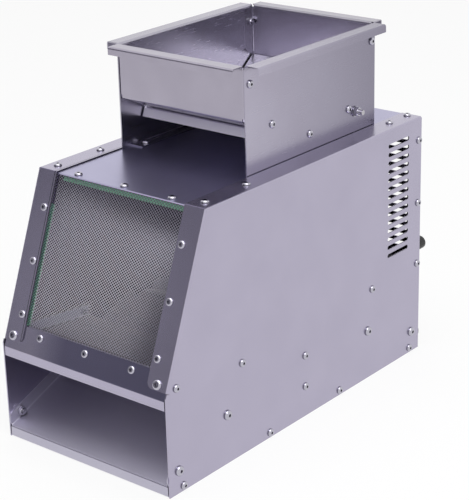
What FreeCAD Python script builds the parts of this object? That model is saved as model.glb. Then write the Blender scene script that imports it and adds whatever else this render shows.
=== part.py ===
import FreeCAD, Part
import math
import os

from FreeCAD import Placement, Rotation, Vector

# A benchtop grain winnower of folded stainless sheet. Grain runs from the hopper over a gate
# and falls across the wind of a fan: clean grain slides out at the rear, chaff at the front.
# Millimetres, +Z up. Origin: centre of the underside. The sloping mesh front faces -Y.

# Cabinet, outside sizes
WIDTH = 200.0
LENGTH = 395.0
HEIGHT = 250.0
KNEE_HEIGHT = 96.0
SLANT_RUN = 60.6
SHEET = 1.2
BEND = 1.0
PANEL_FLANGE = 23.5
REAR_REVEAL = 2.0
SEAM = 0.4

# Base tray, chutes and the divider that carries them
TRAY_LIP = 10.2
TRAY_FLANGE = 10.0
TRAY_SCREW_SPREAD = 178.7
TRAY_SCREW_INNER = 55.3
FRONT_CHUTE_APEX = 85.0
REAR_CHUTE_APEX = 84.5
CHUTE_FLANGE = 12.0
CHUTE_SCREW_LIFT = 6.0
CHUTE_NOSE = 8.0
CHUTE_HOOK = 9.0
FRONT_CHUTE_BOLTS = (13.3, 80.9)
REAR_CHUTE_BOLTS = (16.0, 93.9)
DIVIDER_FLANGE = 13.0
DIVIDER_SCREWS = (31.0, 63.0)
DIVIDER_FLANGE_TOP = 72.0

# Front: crossbar, mesh with its spacers and gasket, and the chaff shelf behind them
CROSSBAR_DROP = 12.5
CROSSBAR_RISE = 21.0
CROSSBAR_SCREW = 14.5
ROW_SCREW_INSET = 20.5
FLANGE_START = 4.5
FLANGE_CORNER = 6.0
CORNER_BOLT = 9.7
CORNER_BOLT_INSET = 12.0
MESH = 0.8
MESH_START = 11.2
MESH_TOP_FLANGE = 14.0
MESH_SCREW_INSET = 6.0
MESH_SCREWS = (31.0, 81.0, 131.0)
GASKET = 1.5
GASKET_LEFT_SHOW = 2.2
GASKET_LEFT_START = 15.0
GASKET_LEFT_END = 135.5
GASKET_TOP_SHOW = 5.2
GASKET_TOP_INSET = 11.5
SHELF_DROP = 6.4
SHELF_LIFT = 1.4
SHELF_LIP = 10.0
SHELF_LENGTH = 112.0
SHELF_FLANGE = 12.0
SHELF_SCREWS = (13.9, 103.5)

# Top plate screws
TOP_SCREW_INSET = 12.0
TOP_REAR_SCREW_INSET = 13.8
TOP_SCREW_FRONT = 73.5
TOP_SCREW_SIDE = 130.0
TOP_SCREW_REAR_SIDE = 39.0
TOP_SCREW_REAR = 7.6
TOP_ROW_SETBACK = 6.9
TOP_ROW_REAR_X = 40.0

# Rear panel, its vents and the vents of the side panels
REAR_PANEL_FOOT = 85.0
REAR_PANEL_FLANGE = 14.0
REAR_PANEL_SCREW_DROP = 23.6
REAR_PANEL_SCREW_PITCH = 65.6
REAR_PANEL_SCREW_INSET = 6.6
VENT_COUNT = 14
VENT_PITCH = 8.77
VENT_HEIGHT = 4.3
VENT_LENGTH = 36.0
VENT_TOP_DROP = 16.6
VENT_REAR_INSET = 24.3
REAR_VENT_TOP_DROP = 25.3
REAR_VENT_HEIGHT = 4.6
REAR_VENT_INSET = 16.2

# Fan bay
BAY_DEPTH = 92.7
BAY_FLOOR = 99.5
BAY_FLANGE = 12.0
BAY_SCREW_INSET = 6.0
BULKHEAD_FLANGE = 14.0
BULKHEAD_SCREW_INSET = 34.0
FAN_SIZE = 120.0
FAN_DEPTH = 38.0
FAN_LOW_SHARE = 0.285
FAN_WALL = 3.0
FAN_HOLE_INSET = 7.5
FAN_PLATE = 5.0
HUB_RADIUS = 30.0
HUB_WALL = 2.5
BLADE_COUNT = 7
BLADE_TIP_GAP = 1.5
BLADE_CHORD = 30.0
BLADE_PITCH = 42.0
BLADE_THICKNESS = 1.8
BLADE_CAMBER = 4.0
SHAFT_RADIUS = 2.0
SHAFT_CLEAR = 0.05
BEARING_RADIUS = 5.0
BEARING_WIDTH = 4.0
TUBE_WALL = 1.5
STRUT_WIDTH = 5.0
STRUT_DEPTH = 4.0
GUARD_WIRE = 1.0
GUARD_SEAT = 1.5
GUARD_RING_COUNT = 4
GUARD_RING_PITCH = 13.0

# Electrics on the rear panel and on the bay floor
KNOB_INSET = 11.5
KNOB_Z = 109.0
KNOB_RADIUS = 6.75
KNOB_LENGTH = 14.0
KNOB_STANDOFF = 3.5
KNOB_FLUTES = 18
POT_SHAFT = 3.0
POT_BUSH = 3.5
POT_BODY = 8.0
POT_BODY_DEPTH = 9.0
POT_NUT_FLATS = 10.0
POT_NUT_HEIGHT = 2.0
INLET_X = -14.0
INLET_Z = 126.0
INLET_BODY = (27.0, 19.6)
INLET_FACE = (50.0, 23.0)
INLET_DEPTH = 26.0
INLET_SCREW_SPREAD = 20.0
INLET_FLOOR = 8.0
INLET_WALLS = 3.5
INLET_PINS = ((-7.0, -1.0), (0.0, 2.5), (7.0, -1.0))
TAG_LENGTH = 7.0
SWITCH_X = 30.0
SWITCH_Z = 126.0
SWITCH_BODY = (13.0, 19.0)
SWITCH_FACE = (15.0, 21.0)
SWITCH_DEPTH = 17.0
SWITCH_TAG = 5.0
ROCKER_TILT = 9.0
BOARD = (48.0, 32.0)
BOARD_SIDE_GAP = 16.0
BOARD_REAR_GAP = 8.0
STANDOFF = 6.0
BOARD_THICKNESS = 1.6
BLOCK_LENGTH = 28.0
BLOCK_DEPTH = 7.5
BLOCK_HEIGHT = 9.0
LEAD_RADIUS = 1.3
LEAD_RUN = 7.5

# Hopper
HOPPER_SIDE_GAP = 1.1
HOPPER_FRONT = 146.3
HOPPER_LENGTH = 199.5
HOPPER_RISE = 100.8
RIM_WIDTH = 14.2
RIM_LIP = 7.5
RIM_END = 2.0
RIM_MITRE = 0.6
HOPPER_WALL_HEIGHT = 51.6
TAB = 14.0
TAB_SCREW_INSET = 7.2
REAR_TAB_SCREW_INSET = 5.7
TAB_SCREW_DROP = 17.3
FOOT_FLANGE = 12.0
FEED_START = 31.4
FEED_DROP = 66.6
FEED_END_DROP = 3.75
FEED_LIP = 10.0
FEED_FLANGE = 13.0
FEED_SCREW_START = 4.0
FEED_SCREW_END = 16.4
FEED_SCREW_LIFT = 7.4
SLOPE_ANGLE = 37.0
SLOPE_FLANGE = 12.0
SLOPE_OVERLAP = 12.0
SLOPE_SCREW = 6.0
SLOPE_SCREW_LIFT = 6.0
GATE_SETBACK = 32.6
GATE_HEIGHT = 21.7
GATE_LENGTH = 48.5
GATE_SHAFT_RADIUS = 2.5
GATE_SHAFT_END = 9.5
GATE_GAP = 0.4
THROAT_MARGIN = 16.0
THROAT_CORNER = 3.0
FOOT_SCREW_INSET = 12.0
REAR_FOOT_SCREW_INSET = 8.0

# Screws: shank radius, head radius, head height, socket across flats, nut across flats, nut height
M3 = (1.5, 2.8, 1.8, 2.0, 5.5, 2.4)
M4 = (2.0, 3.8, 2.2, 2.5, 7.0, 3.2)
M5 = (2.5, 4.75, 2.75, 3.0, 8.0, 4.0)
HOLE_CLEAR = 0.2
NUT_CLEAR = 0.03
CLINCH_RADIUS = 3.0
CLINCH_HEIGHT = 2.0
THREAD_SHOW = 1.0

# Places that follow from the sizes above
HALF = WIDTH / 2
INNER = HALF - SHEET
FRONT = -LENGTH / 2
REAR = LENGTH / 2
OUTER_BEND = BEND + SHEET
TOP = HEIGHT - SHEET
UNDER_TOP = HEIGHT - 2 * SHEET
SLANT = math.atan2(SLANT_RUN, HEIGHT - KNEE_HEIGHT)
SLANT_LENGTH = math.hypot(SLANT_RUN, HEIGHT - KNEE_HEIGHT)
INSERT = INNER - BEND
MESH_BACK = 2 * SHEET + MESH
FLANGE_EDGE = HALF - PANEL_FLANGE
BULKHEAD_Y = REAR - BAY_DEPTH
FAN_Y = BULKHEAD_Y + SHEET
FAN_REAR = FAN_Y + FAN_DEPTH
FAN_Z = BAY_FLOOR + FAN_LOW_SHARE * (UNDER_TOP - BAY_FLOOR - FAN_SIZE) + FAN_SIZE / 2
FAN_BORE = FAN_SIZE / 2 - FAN_WALL
FAN_HOLE_SPREAD = FAN_SIZE / 2 - FAN_HOLE_INSET
KNOB_X = HALF - KNOB_INSET
BOARD_X = BOARD[0] / 2 + BOARD_SIDE_GAP - HALF
DIVIDER_Y = -DIVIDER_FLANGE / 2
HOP_HALF = FLANGE_EDGE - HOPPER_SIDE_GAP
HOP_IN = HOP_HALF - SHEET
HOP_FRONT = FRONT + HOPPER_FRONT
HOP_REAR = HOP_FRONT + HOPPER_LENGTH
HOP_TOP = TOP + HOPPER_RISE + SHEET
FEED_Y = HOP_FRONT + FEED_START
FEED_Z = HOP_TOP - FEED_DROP
GATE_Y = HOP_REAR - GATE_SETBACK
GATE_Z = TOP + GATE_HEIGHT
PANEL_NORMAL = Vector(1, 0, 0)
UP = Vector(0, 0, 1)
BACK = Vector(0, 1, 0)


def rounded_wire(points, radii):
    """Closed wire through the points, with an arc of the given radius at each corner."""
    count = len(points)
    ends = []
    for i, corner in enumerate(points):
        if radii[i] <= 0:
            ends.append((corner, None, corner))
            continue
        before = (points[i - 1] - corner).normalize()
        after = (points[(i + 1) % count] - corner).normalize()
        half_angle = before.getAngle(after) / 2
        middle = (before + after).normalize()
        reach = radii[i] / math.tan(half_angle)
        centre = corner + middle * (radii[i] / math.sin(half_angle))
        ends.append((corner + before * reach, centre - middle * radii[i], corner + after * reach))
    edges = []
    for i, (start, through, finish) in enumerate(ends):
        if through is not None:
            edges.append(Part.Arc(start, through, finish).toShape())
        following = ends[(i + 1) % count][0]
        if (following - finish).Length > 1e-6:
            edges.append(Part.LineSegment(finish, following).toShape())
    return Part.Wire(edges)


def prism(points, radii, travel):
    """Solid made by moving a flat outline along a direction."""
    if radii is None:
        radii = [0.0] * len(points)
    return Part.Face(rounded_wire(points, radii)).extrude(travel)


def along_x(outline, low, high, radii=None):
    """Prism along X of an outline given as (y, z)."""
    return prism([Vector(low, y, z) for y, z in outline], radii, Vector(high - low, 0, 0))


def along_y(outline, low, high, radii=None):
    """Prism along Y of an outline given as (x, z)."""
    return prism([Vector(x, low, z) for x, z in outline], radii, Vector(0, high - low, 0))


def along_z(outline, low, high, radii=None):
    """Prism along Z of an outline given as (x, y)."""
    return prism([Vector(x, y, low) for x, y in outline], radii, Vector(0, 0, high - low))


def box(x0, x1, y0, y1, z0, z1):
    return Part.makeBox(x1 - x0, y1 - y0, z1 - z0, Vector(x0, y0, z0))


def rectangle(width, height, x, y):
    """Corners of a rectangle about a centre."""
    w, h = width / 2, height / 2
    return [(x - w, y - h), (x + w, y - h), (x + w, y + h), (x - w, y + h)]


def folded(path, sheet=SHEET, bend=BEND):
    """Outline of a folded sheet: one face follows the path, the metal lies on its right."""
    legs = []
    for (a0, b0), (a1, b1) in zip(path, path[1:]):
        length = math.hypot(a1 - a0, b1 - b0)
        legs.append(((a1 - a0) / length, (b1 - b0) / length))
    near, far, near_radii, far_radii = [], [], [], []
    for i, (a, b) in enumerate(path):
        before = legs[max(i - 1, 0)]
        after = legs[min(i, len(legs) - 1)]
        normal = (before[1] + after[1], -before[0] - after[0])
        scale = sheet / (1 + before[0] * after[0] + before[1] * after[1])
        near.append((a, b))
        far.append((a + normal[0] * scale, b + normal[1] * scale))
        turn = before[0] * after[1] - before[1] * after[0]
        if abs(turn) < 1e-9:
            near_radii.append(0.0)
            far_radii.append(0.0)
        else:
            near_radii.append(bend if turn > 0 else bend + sheet)
            far_radii.append(bend + sheet if turn > 0 else bend)
    return near + far[::-1], near_radii + far_radii[::-1]


def folded_x(path, low, high, sheet=SHEET, bend=BEND):
    outline, radii = folded(path, sheet, bend)
    return along_x(outline, low, high, radii)


def folded_y(path, low, high, sheet=SHEET, bend=BEND):
    outline, radii = folded(path, sheet, bend)
    return along_y(outline, low, high, radii)


def folded_z(path, low, high, sheet=SHEET, bend=BEND):
    outline, radii = folded(path, sheet, bend)
    return along_z(outline, low, high, radii)


def fuse(shapes):
    """One solid of several that touch, with the seams between flush faces removed."""
    return shapes[0].fuse(shapes[1:]).removeSplitter()


def mirrored(shape, normal=PANEL_NORMAL):
    return shape.mirror(Vector(0, 0, 0), normal)


def tilted(shape, degrees, y, z):
    """Shape turned about X and moved to a point of the YZ plane."""
    result = shape.copy()
    result.Placement = Placement(Vector(0, y, z), Rotation(PANEL_NORMAL, degrees))
    return result


def on_slant(shape):
    """From slope coordinates (x, depth behind the face, distance up from the knee)."""
    return tilted(shape, -math.degrees(SLANT), FRONT, KNEE_HEIGHT)


def slant_point(along, depth):
    """(y, z) of a point on the sloping front."""
    return (FRONT + along * math.sin(SLANT) + depth * math.cos(SLANT),
            KNEE_HEIGHT + along * math.cos(SLANT) - depth * math.sin(SLANT))


def slant_along(height, depth):
    """Distance up the slope at which a plane behind it reaches a height."""
    return (height - KNEE_HEIGHT + depth * math.sin(SLANT)) / math.cos(SLANT)


def channel(half_width, flange, low, high, up=True):
    """Trough along Y with a flange on each side, its floor's outer face at z = 0."""
    if up:
        path = [(half_width, flange), (half_width, 0), (-half_width, 0), (-half_width, flange)]
    else:
        path = [(-half_width, -flange), (-half_width, 0), (half_width, 0), (half_width, -flange)]
    return folded_y(path, low, high)


def slot(axis, length, height, centre, depth):
    """Cutter for a round-ended slot through a panel whose normal is the given axis."""
    radius = height / 2
    if axis == "x":
        outline = rectangle(length, height, centre[1], centre[2])
        return along_x(outline, centre[0] - depth, centre[0] + depth, [radius - 1e-4] * 4)
    outline = rectangle(length, height, centre[0], centre[2])
    return along_y(outline, centre[1] - depth, centre[1] + depth, [radius - 1e-4] * 4)


def station(x, y, z, normal, grip, size=M4):
    """A screw's seat: where its head bears, which way it faces and what it clamps."""
    return {"at": Vector(x, y, z), "normal": normal, "grip": grip, "size": size}


def both_sides(stations):
    """The stations and their mirror images on the left side."""
    result = list(stations)
    for s in stations:
        at, normal = s["at"], s["normal"]
        turned = Vector(-normal.x, normal.y, normal.z)
        result.append({**s, "at": Vector(-at.x, at.y, at.z), "normal": turned})
    return result


def placed(shape, s, offset=0.0):
    """Shape modelled along +Z, put at a station, pushed outwards by the offset."""
    result = shape.copy()
    result.Placement = Placement(s["at"] + s["normal"] * offset, Rotation(UP, s["normal"]))
    return result


def drill(shape, stations):
    """Clearance holes for the screws of the stations."""
    cutters = []
    for s in stations:
        depth = s["grip"] + 1.0
        hole = Part.makeCylinder(s["size"][0] + HOLE_CLEAR, depth + 1.0, Vector(0, 0, -depth))
        cutters.append(placed(hole, s))
    return shape.cut(cutters)


def hexagon(flats, low, high):
    radius = flats / math.sqrt(3)
    corners = [(radius * math.cos(math.radians(60 * i)), radius * math.sin(math.radians(60 * i)))
               for i in range(6)]
    return along_z(corners, low, high)


def button_screw(size, length):
    """Low domed head with a hexagon socket, on a plain shank along -Z."""
    shank, head, height, flats = size[:4]
    rim = height * 0.25
    crown = head * 0.5
    middle = Vector(head * 0.86, 0, height * 0.76)
    edges = [
        Part.LineSegment(Vector(0, 0, 0), Vector(head, 0, 0)).toShape(),
        Part.LineSegment(Vector(head, 0, 0), Vector(head, 0, rim)).toShape(),
        Part.Arc(Vector(head, 0, rim), middle, Vector(crown, 0, height)).toShape(),
        Part.LineSegment(Vector(crown, 0, height), Vector(0, 0, height)).toShape(),
        Part.LineSegment(Vector(0, 0, height), Vector(0, 0, 0)).toShape(),
    ]
    dome = Part.Face(Part.Wire(edges)).revolve(Vector(0, 0, 0), UP, 360)
    dome = Part.makeSolid(dome) if dome.ShapeType == "Shell" else dome
    stem = Part.makeCylinder(shank, length, Vector(0, 0, -length))
    return dome.fuse(stem).cut(hexagon(flats, height * 0.4, height + 1))


def hex_nut(size):
    """Nut that hangs below z = 0, chamfered on its outer face."""
    shank, flats, height = size[0], size[4], size[5]
    blank = hexagon(flats, -height, 0)
    cone = Part.makeCone(flats / 2 - 0.1, flats / 2 - 0.1 + height * 1.4, height * 1.4,
                         Vector(0, 0, -height))
    bore = Part.makeCylinder(shank + NUT_CLEAR, height + 2, Vector(0, 0, -height - 1))
    return blank.common(cone).cut(bore)


def clinch_nut(shank):
    """Round press-in nut behind a flange."""
    body = Part.makeCylinder(CLINCH_RADIUS, CLINCH_HEIGHT, Vector(0, 0, -CLINCH_HEIGHT))
    bore = Part.makeCylinder(shank + NUT_CLEAR, CLINCH_HEIGHT + 2, Vector(0, 0, -CLINCH_HEIGHT - 1))
    return body.cut(bore)


def screws(stations, clinch=False):
    """A screw for each station, long enough for its grip and for its clinch nut or hexagon nut."""
    solids = []
    for s in stations:
        length = s["grip"] + (CLINCH_HEIGHT if clinch else s["size"][5]) + THREAD_SHOW
        solids.append(placed(button_screw(s["size"], length), s))
    return Part.makeCompound(solids)


def hex_nuts(stations):
    return Part.makeCompound([placed(hex_nut(s["size"]), s, -s["grip"]) for s in stations])


def clinch_nuts(stations):
    return Part.makeCompound([placed(clinch_nut(s["size"][0]), s, -s["grip"]) for s in stations])


def export(name, shape):
    shape.exportStep(os.path.join("parts", name + ".step"))
    print(name, len(shape.Solids), "solids", round(shape.Volume), "mm3", shape.isValid())


# Slopes of the chutes and of the chaff shelf
FRONT_CHUTE_RUN = DIVIDER_Y - FRONT
REAR_CHUTE_RUN = REAR - DIVIDER_Y - SHEET
FRONT_CHUTE_ANGLE = math.atan2(FRONT_CHUTE_APEX - TRAY_LIP, FRONT_CHUTE_RUN)
REAR_CHUTE_ANGLE = math.atan2(REAR_CHUTE_APEX - TRAY_LIP, REAR_CHUTE_RUN)
CROSSBAR_KNEE = slant_point(-SHEET / math.tan(SLANT), SHEET)
SHELF_START = slant_point(SHELF_LIFT / math.cos(SLANT), 2 * SHEET)[0] + SEAM
SHELF_Z = KNEE_HEIGHT + SHELF_LIFT - SHEET
TOP_EDGE = slant_point(slant_along(TOP, SHEET), SHEET)[0]
MESH_SCREW_X = FLANGE_EDGE + MESH_SCREW_INSET
ROW_SCREW_X = FLANGE_EDGE - ROW_SCREW_INSET
CORNER_BOLT_X = HALF - CORNER_BOLT_INSET
TOP_SCREW_X = HALF - TOP_SCREW_INSET
TOP_REAR_SCREW_X = HALF - TOP_REAR_SCREW_INSET
BULKHEAD_SCREW_X = HALF - BULKHEAD_SCREW_INSET


def chute_station(distance, angle, y_end, direction):
    """Seat of a chute bolt, a distance in from the end of the cabinet."""
    height = TRAY_LIP + distance * math.tan(angle) + CHUTE_SCREW_LIFT / math.cos(angle)
    return station(HALF, y_end + direction * distance, height, PANEL_NORMAL, 2 * SHEET, M5)


def shelf_station(distance):
    """Seat of a shelf screw, half way up the flange."""
    slope = math.radians(SHELF_DROP)
    height = SHELF_Z - (FRONT + distance - SHELF_START) * math.tan(slope) + SHELF_FLANGE / 2 / math.cos(slope)
    return station(HALF, FRONT + distance, height, PANEL_NORMAL, 2 * SHEET)


TRAY_STATIONS = [station(HALF, y, TRAY_FLANGE / 2, PANEL_NORMAL, 2 * SHEET)
                 for y in (-TRAY_SCREW_SPREAD, -TRAY_SCREW_INNER, TRAY_SCREW_INNER, TRAY_SCREW_SPREAD)]
DIVIDER_STATIONS = [station(HALF, 0, z, PANEL_NORMAL, 2 * SHEET) for z in DIVIDER_SCREWS]
SHELF_STATIONS = [shelf_station(d) for d in SHELF_SCREWS]
BAY_STATIONS = [station(HALF, BULKHEAD_Y + BAY_SCREW_INSET, BAY_FLOOR - BAY_FLANGE / 2,
                        PANEL_NORMAL, 2 * SHEET)]
REAR_STATIONS = [station(HALF, REAR - REAR_PANEL_SCREW_INSET,
                         HEIGHT - REAR_PANEL_SCREW_DROP - i * REAR_PANEL_SCREW_PITCH,
                         PANEL_NORMAL, 2 * SHEET) for i in range(3)]
SIDE_STATIONS = both_sides(TRAY_STATIONS + DIVIDER_STATIONS + SHELF_STATIONS + BAY_STATIONS + REAR_STATIONS)
FRONT_CHUTE_STATIONS = both_sides([chute_station(d, FRONT_CHUTE_ANGLE, FRONT, 1) for d in FRONT_CHUTE_BOLTS])
REAR_CHUTE_STATIONS = both_sides([chute_station(d, REAR_CHUTE_ANGLE, REAR, -1) for d in REAR_CHUTE_BOLTS])
CHUTE_STATIONS = FRONT_CHUTE_STATIONS + REAR_CHUTE_STATIONS
TOP_FRONT_STATIONS = both_sides([station(TOP_SCREW_X, FRONT + TOP_SCREW_FRONT, HEIGHT, UP, 2 * SHEET + MESH)])
TOP_REAR_STATIONS = both_sides([station(TOP_REAR_SCREW_X, REAR - TOP_SCREW_REAR, HEIGHT, UP, 3 * SHEET)])
TOP_STATIONS = TOP_FRONT_STATIONS + TOP_REAR_STATIONS + both_sides([
    station(TOP_SCREW_X, FRONT + TOP_SCREW_SIDE, HEIGHT, UP, 2 * SHEET),
    station(TOP_REAR_SCREW_X, REAR - TOP_SCREW_REAR_SIDE, HEIGHT, UP, 2 * SHEET)])
FRONT_ROW_STATIONS = [station(x, FRONT + SLANT_RUN + TOP_ROW_SETBACK, TOP, UP, SHEET + MESH)
                      for x in (-ROW_SCREW_X, 0, ROW_SCREW_X)]
REAR_ROW_STATIONS = [station(x, REAR - TOP_SCREW_REAR, TOP, UP, 2 * SHEET)
                     for x in (-TOP_ROW_REAR_X, 0, TOP_ROW_REAR_X)]


def slant_station(x, along, depth, grip, size):
    y, z = slant_point(along, depth)
    return station(x, y, z, Vector(0, -math.cos(SLANT), math.sin(SLANT)), grip, size)


MESH_STATIONS = [slant_station(side * MESH_SCREW_X, s, 0, MESH_BACK + GASKET, M4)
                 for s in MESH_SCREWS for side in (-1, 1)]
CROSSBAR_STATIONS = [slant_station(x, CROSSBAR_SCREW, SHEET, SHEET + MESH, M4)
                     for x in (-ROW_SCREW_X, 0, ROW_SCREW_X)]
CORNER_STATIONS = [slant_station(side * CORNER_BOLT_X, CORNER_BOLT, 0, 2 * SHEET, M5) for side in (-1, 1)]


def side_panel():
    """Right side panel: a cut sheet with flanges turned in along the top and the sloping front."""
    inset = OUTER_BEND + BEND
    rear = REAR - REAR_REVEAL
    step = FLANGE_START - SEAM
    sheet = along_x([
        (FRONT, 0), (rear, 0), (rear, HEIGHT - inset),
        slant_point(slant_along(HEIGHT - inset, inset), inset),
        slant_point(step, inset), slant_point(step, 0), (FRONT, KNEE_HEIGHT),
    ], INNER, HALF)
    top_path = [(FLANGE_EDGE, HEIGHT), (HALF, HEIGHT), (HALF, HEIGHT - inset)]
    top_flange = folded_y(top_path, FRONT + SLANT_RUN + SEAM, rear)
    front_path = [(HALF, inset), (HALF, 0), (FLANGE_EDGE, 0)]
    x, s = FLANGE_EDGE + FLANGE_CORNER, FLANGE_START + FLANGE_CORNER
    corner = box(FLANGE_EDGE, x, -1, SHEET + 1, FLANGE_START, s).cut(
        Part.makeCylinder(FLANGE_CORNER, SHEET + 4, Vector(x, -2, s), BACK))
    front_flange = on_slant(folded_z(front_path, FLANGE_START, SLANT_LENGTH - SEAM).cut(corner))
    panel = fuse([sheet, top_flange, front_flange])
    centre = REAR - VENT_REAR_INSET - VENT_LENGTH / 2
    vents = []
    for i in range(VENT_COUNT):
        place = (HALF, centre, HEIGHT - VENT_TOP_DROP - i * VENT_PITCH)
        vents.append(slot("x", VENT_LENGTH, VENT_HEIGHT, place, 3 * SHEET))
    panel = panel.cut(vents)
    return drill(panel, SIDE_STATIONS + CHUTE_STATIONS + TOP_STATIONS + MESH_STATIONS + CORNER_STATIONS)


def top_plate():
    """Flat top sheet under the panels' flanges."""
    plate = box(-INSERT, INSERT, TOP_EDGE, REAR, UNDER_TOP, TOP)
    middle = (THROAT_REAR + THROAT_FRONT) / 2
    opening = rectangle(2 * (HOP_IN - SEAM), THROAT_REAR - THROAT_FRONT, 0, middle)
    throat = along_z(opening, UNDER_TOP - 1, TOP + 1, [THROAT_CORNER] * 4)
    return drill(plate.cut(throat), TOP_STATIONS + FRONT_ROW_STATIONS + REAR_ROW_STATIONS + FOOT_STATIONS)


def base_plate():
    """Tray under the cabinet with low upturned edges all round."""
    start = OUTER_BEND + SEAM
    trough = channel(INNER, TRAY_FLANGE, FRONT + start, REAR - start)
    front = folded_x([(FRONT + start, 0), (FRONT, 0), (FRONT, TRAY_LIP)], -INSERT, INSERT)
    rear = folded_x([(REAR, TRAY_LIP), (REAR, 0), (REAR - start, 0)], -INSERT, INSERT)
    return drill(fuse([trough, front, rear]), SIDE_STATIONS)


def chute(run, apex, angle, stations):
    """Front chute: a trough that climbs from the tray's lip and hooks over the divider."""
    slope = math.tan(angle)
    rise = SHEET / math.cos(angle)
    bottom = (FRONT, TRAY_LIP + rise)
    top = (FRONT + run, TRAY_LIP + run * slope + rise)
    floor = folded_x([bottom, top, (top[0], top[1] - CHUTE_HOOK)], SEAM + SHEET - INNER, INNER - SHEET - SEAM)
    length = run / math.cos(angle)
    trough = channel(INNER, CHUTE_FLANGE, SHEET, length - CHUTE_FLANGE)
    for end, inward in ((SHEET, 1), (length - CHUTE_FLANGE, -1)):
        centre = end + inward * CHUTE_NOSE
        low, high = sorted((end, centre))
        nose = box(-HALF, HALF, low, high, CHUTE_FLANGE - CHUTE_NOSE, CHUTE_FLANGE + 1)
        place = Vector(-HALF, centre, CHUTE_FLANGE - CHUTE_NOSE)
        nose = nose.cut(Part.makeCylinder(CHUTE_NOSE, WIDTH, place, PANEL_NORMAL))
        trough = trough.cut(nose)
    return drill(fuse([floor, tilted(trough, math.degrees(angle), FRONT, TRAY_LIP)]), stations)


def front_chute():
    return chute(FRONT_CHUTE_RUN, FRONT_CHUTE_APEX, FRONT_CHUTE_ANGLE, FRONT_CHUTE_STATIONS)


def rear_chute():
    """The same trough turned round, under the fan."""
    stations = [{**s, "at": Vector(s["at"].x, -s["at"].y, s["at"].z)} for s in REAR_CHUTE_STATIONS]
    return mirrored(chute(REAR_CHUTE_RUN, REAR_CHUTE_APEX, REAR_CHUTE_ANGLE, stations), BACK)


def centre_divider():
    """Upright across the middle that carries the high ends of both chutes."""
    y = DIVIDER_Y
    back = y + DIVIDER_FLANGE
    clear = OUTER_BEND + SEAM
    crest = TRAY_LIP + FRONT_CHUTE_RUN * math.tan(FRONT_CHUTE_ANGLE) - 2 * SHEET
    web = folded_x([(back, SHEET), (y, SHEET), (y, crest)], clear - INNER, INNER - clear)
    sides = folded_z([(-INNER, back), (-INNER, y), (INNER, y), (INNER, back)][::-1],
                     TRAY_FLANGE + SHEET, DIVIDER_FLANGE_TOP)
    return drill(fuse([web, sides]), SIDE_STATIONS)


def front_crossbar():
    """Folded bar at the knee, above the chaff outlet."""
    lip = (FRONT, CROSSBAR_KNEE[1] - CROSSBAR_DROP + 3 * SHEET)
    path = [lip, CROSSBAR_KNEE, slant_point(CROSSBAR_RISE, SHEET)]
    return drill(folded_x(path, -INSERT, INSERT), CROSSBAR_STATIONS + CORNER_STATIONS)


def screen_spacers():
    """Strips that bring the mesh level with the back of the crossbar."""
    top = slant_along(UNDER_TOP, SHEET) - SEAM
    strip = on_slant(box(FLANGE_EDGE + 1, INSERT, SHEET, 2 * SHEET, CROSSBAR_RISE + SEAM, top))
    return drill(Part.makeCompound([strip, mirrored(strip)]), MESH_STATIONS)


def front_mesh():
    """Sieve sheet of the sloping front, turned back under the top plate."""
    depth = 2 * SHEET
    corner = slant_point(slant_along(UNDER_TOP, depth), depth)
    path = [slant_point(MESH_START, depth), corner, (corner[0] + MESH_TOP_FLANGE, corner[1])]
    sheet = folded_x(path, -INSERT, INSERT, MESH)
    stations = MESH_STATIONS + CROSSBAR_STATIONS + FRONT_ROW_STATIONS + TOP_FRONT_STATIONS
    return drill(sheet.cut(corner_relief()), stations)


def corner_relief():
    """Corners cut away round the nuts of the two large bolts."""
    edge = MESH_SCREW_X - 1
    reach = CORNER_BOLT + M5[4] * 0.6 + 1
    cutter = on_slant(box(edge, HALF, SHEET, MESH_BACK + 3 * GASKET, 0, reach))
    return [cutter, mirrored(cutter)]


def mesh_gasket():
    """Green rubber strips behind the mesh: one down each side, and one along most of the top."""
    reach = INSERT - SHEET
    top = slant_along(UNDER_TOP, MESH_BACK) - MESH_BACK
    strip_top = slant_along(TOP, SHEET) - GASKET_TOP_SHOW
    left = box(-reach, GASKET_LEFT_SHOW - FLANGE_EDGE, MESH_BACK, MESH_BACK + GASKET,
               GASKET_LEFT_START, GASKET_LEFT_END)
    right = box(FLANGE_EDGE + 1, reach, MESH_BACK, MESH_BACK + GASKET, GASKET_LEFT_START, strip_top - SEAM)
    upper = box(GASKET_TOP_INSET - FLANGE_EDGE, reach, MESH_BACK, MESH_BACK + GASKET, strip_top, top)
    strips = [on_slant(strip).cut(corner_relief()) for strip in (left, right, upper)]
    return drill(Part.makeCompound(strips), MESH_STATIONS)


def chaff_shelf():
    """Sloping shelf behind the mesh that drops blown chaff on to the front chute."""
    slope = math.radians(SHELF_DROP)
    end = FRONT + SHELF_LENGTH
    rise = SHEET / math.cos(slope)
    path = [(SHELF_START, SHELF_Z + rise - SHELF_LIP), (SHELF_START, SHELF_Z + rise),
            (end, SHELF_Z + rise - (end - SHELF_START) * math.tan(slope))]
    sheet = folded_x(path, SEAM + SHEET - INNER, INNER - SHEET - SEAM)
    length = (end - SHELF_START) / math.cos(slope)
    radius = SHELF_FLANGE / 2
    trough = channel(INNER, SHELF_FLANGE, radius, length - SHEET)
    nose = box(-HALF, HALF, radius, 2 * radius, radius, SHELF_FLANGE + 1).cut(
        Part.makeCylinder(radius, WIDTH, Vector(-HALF, 2 * radius, radius), PANEL_NORMAL))
    trough = tilted(trough.cut(nose), -SHELF_DROP, SHELF_START, SHELF_Z)
    return drill(fuse([sheet, trough]), SIDE_STATIONS)


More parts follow.
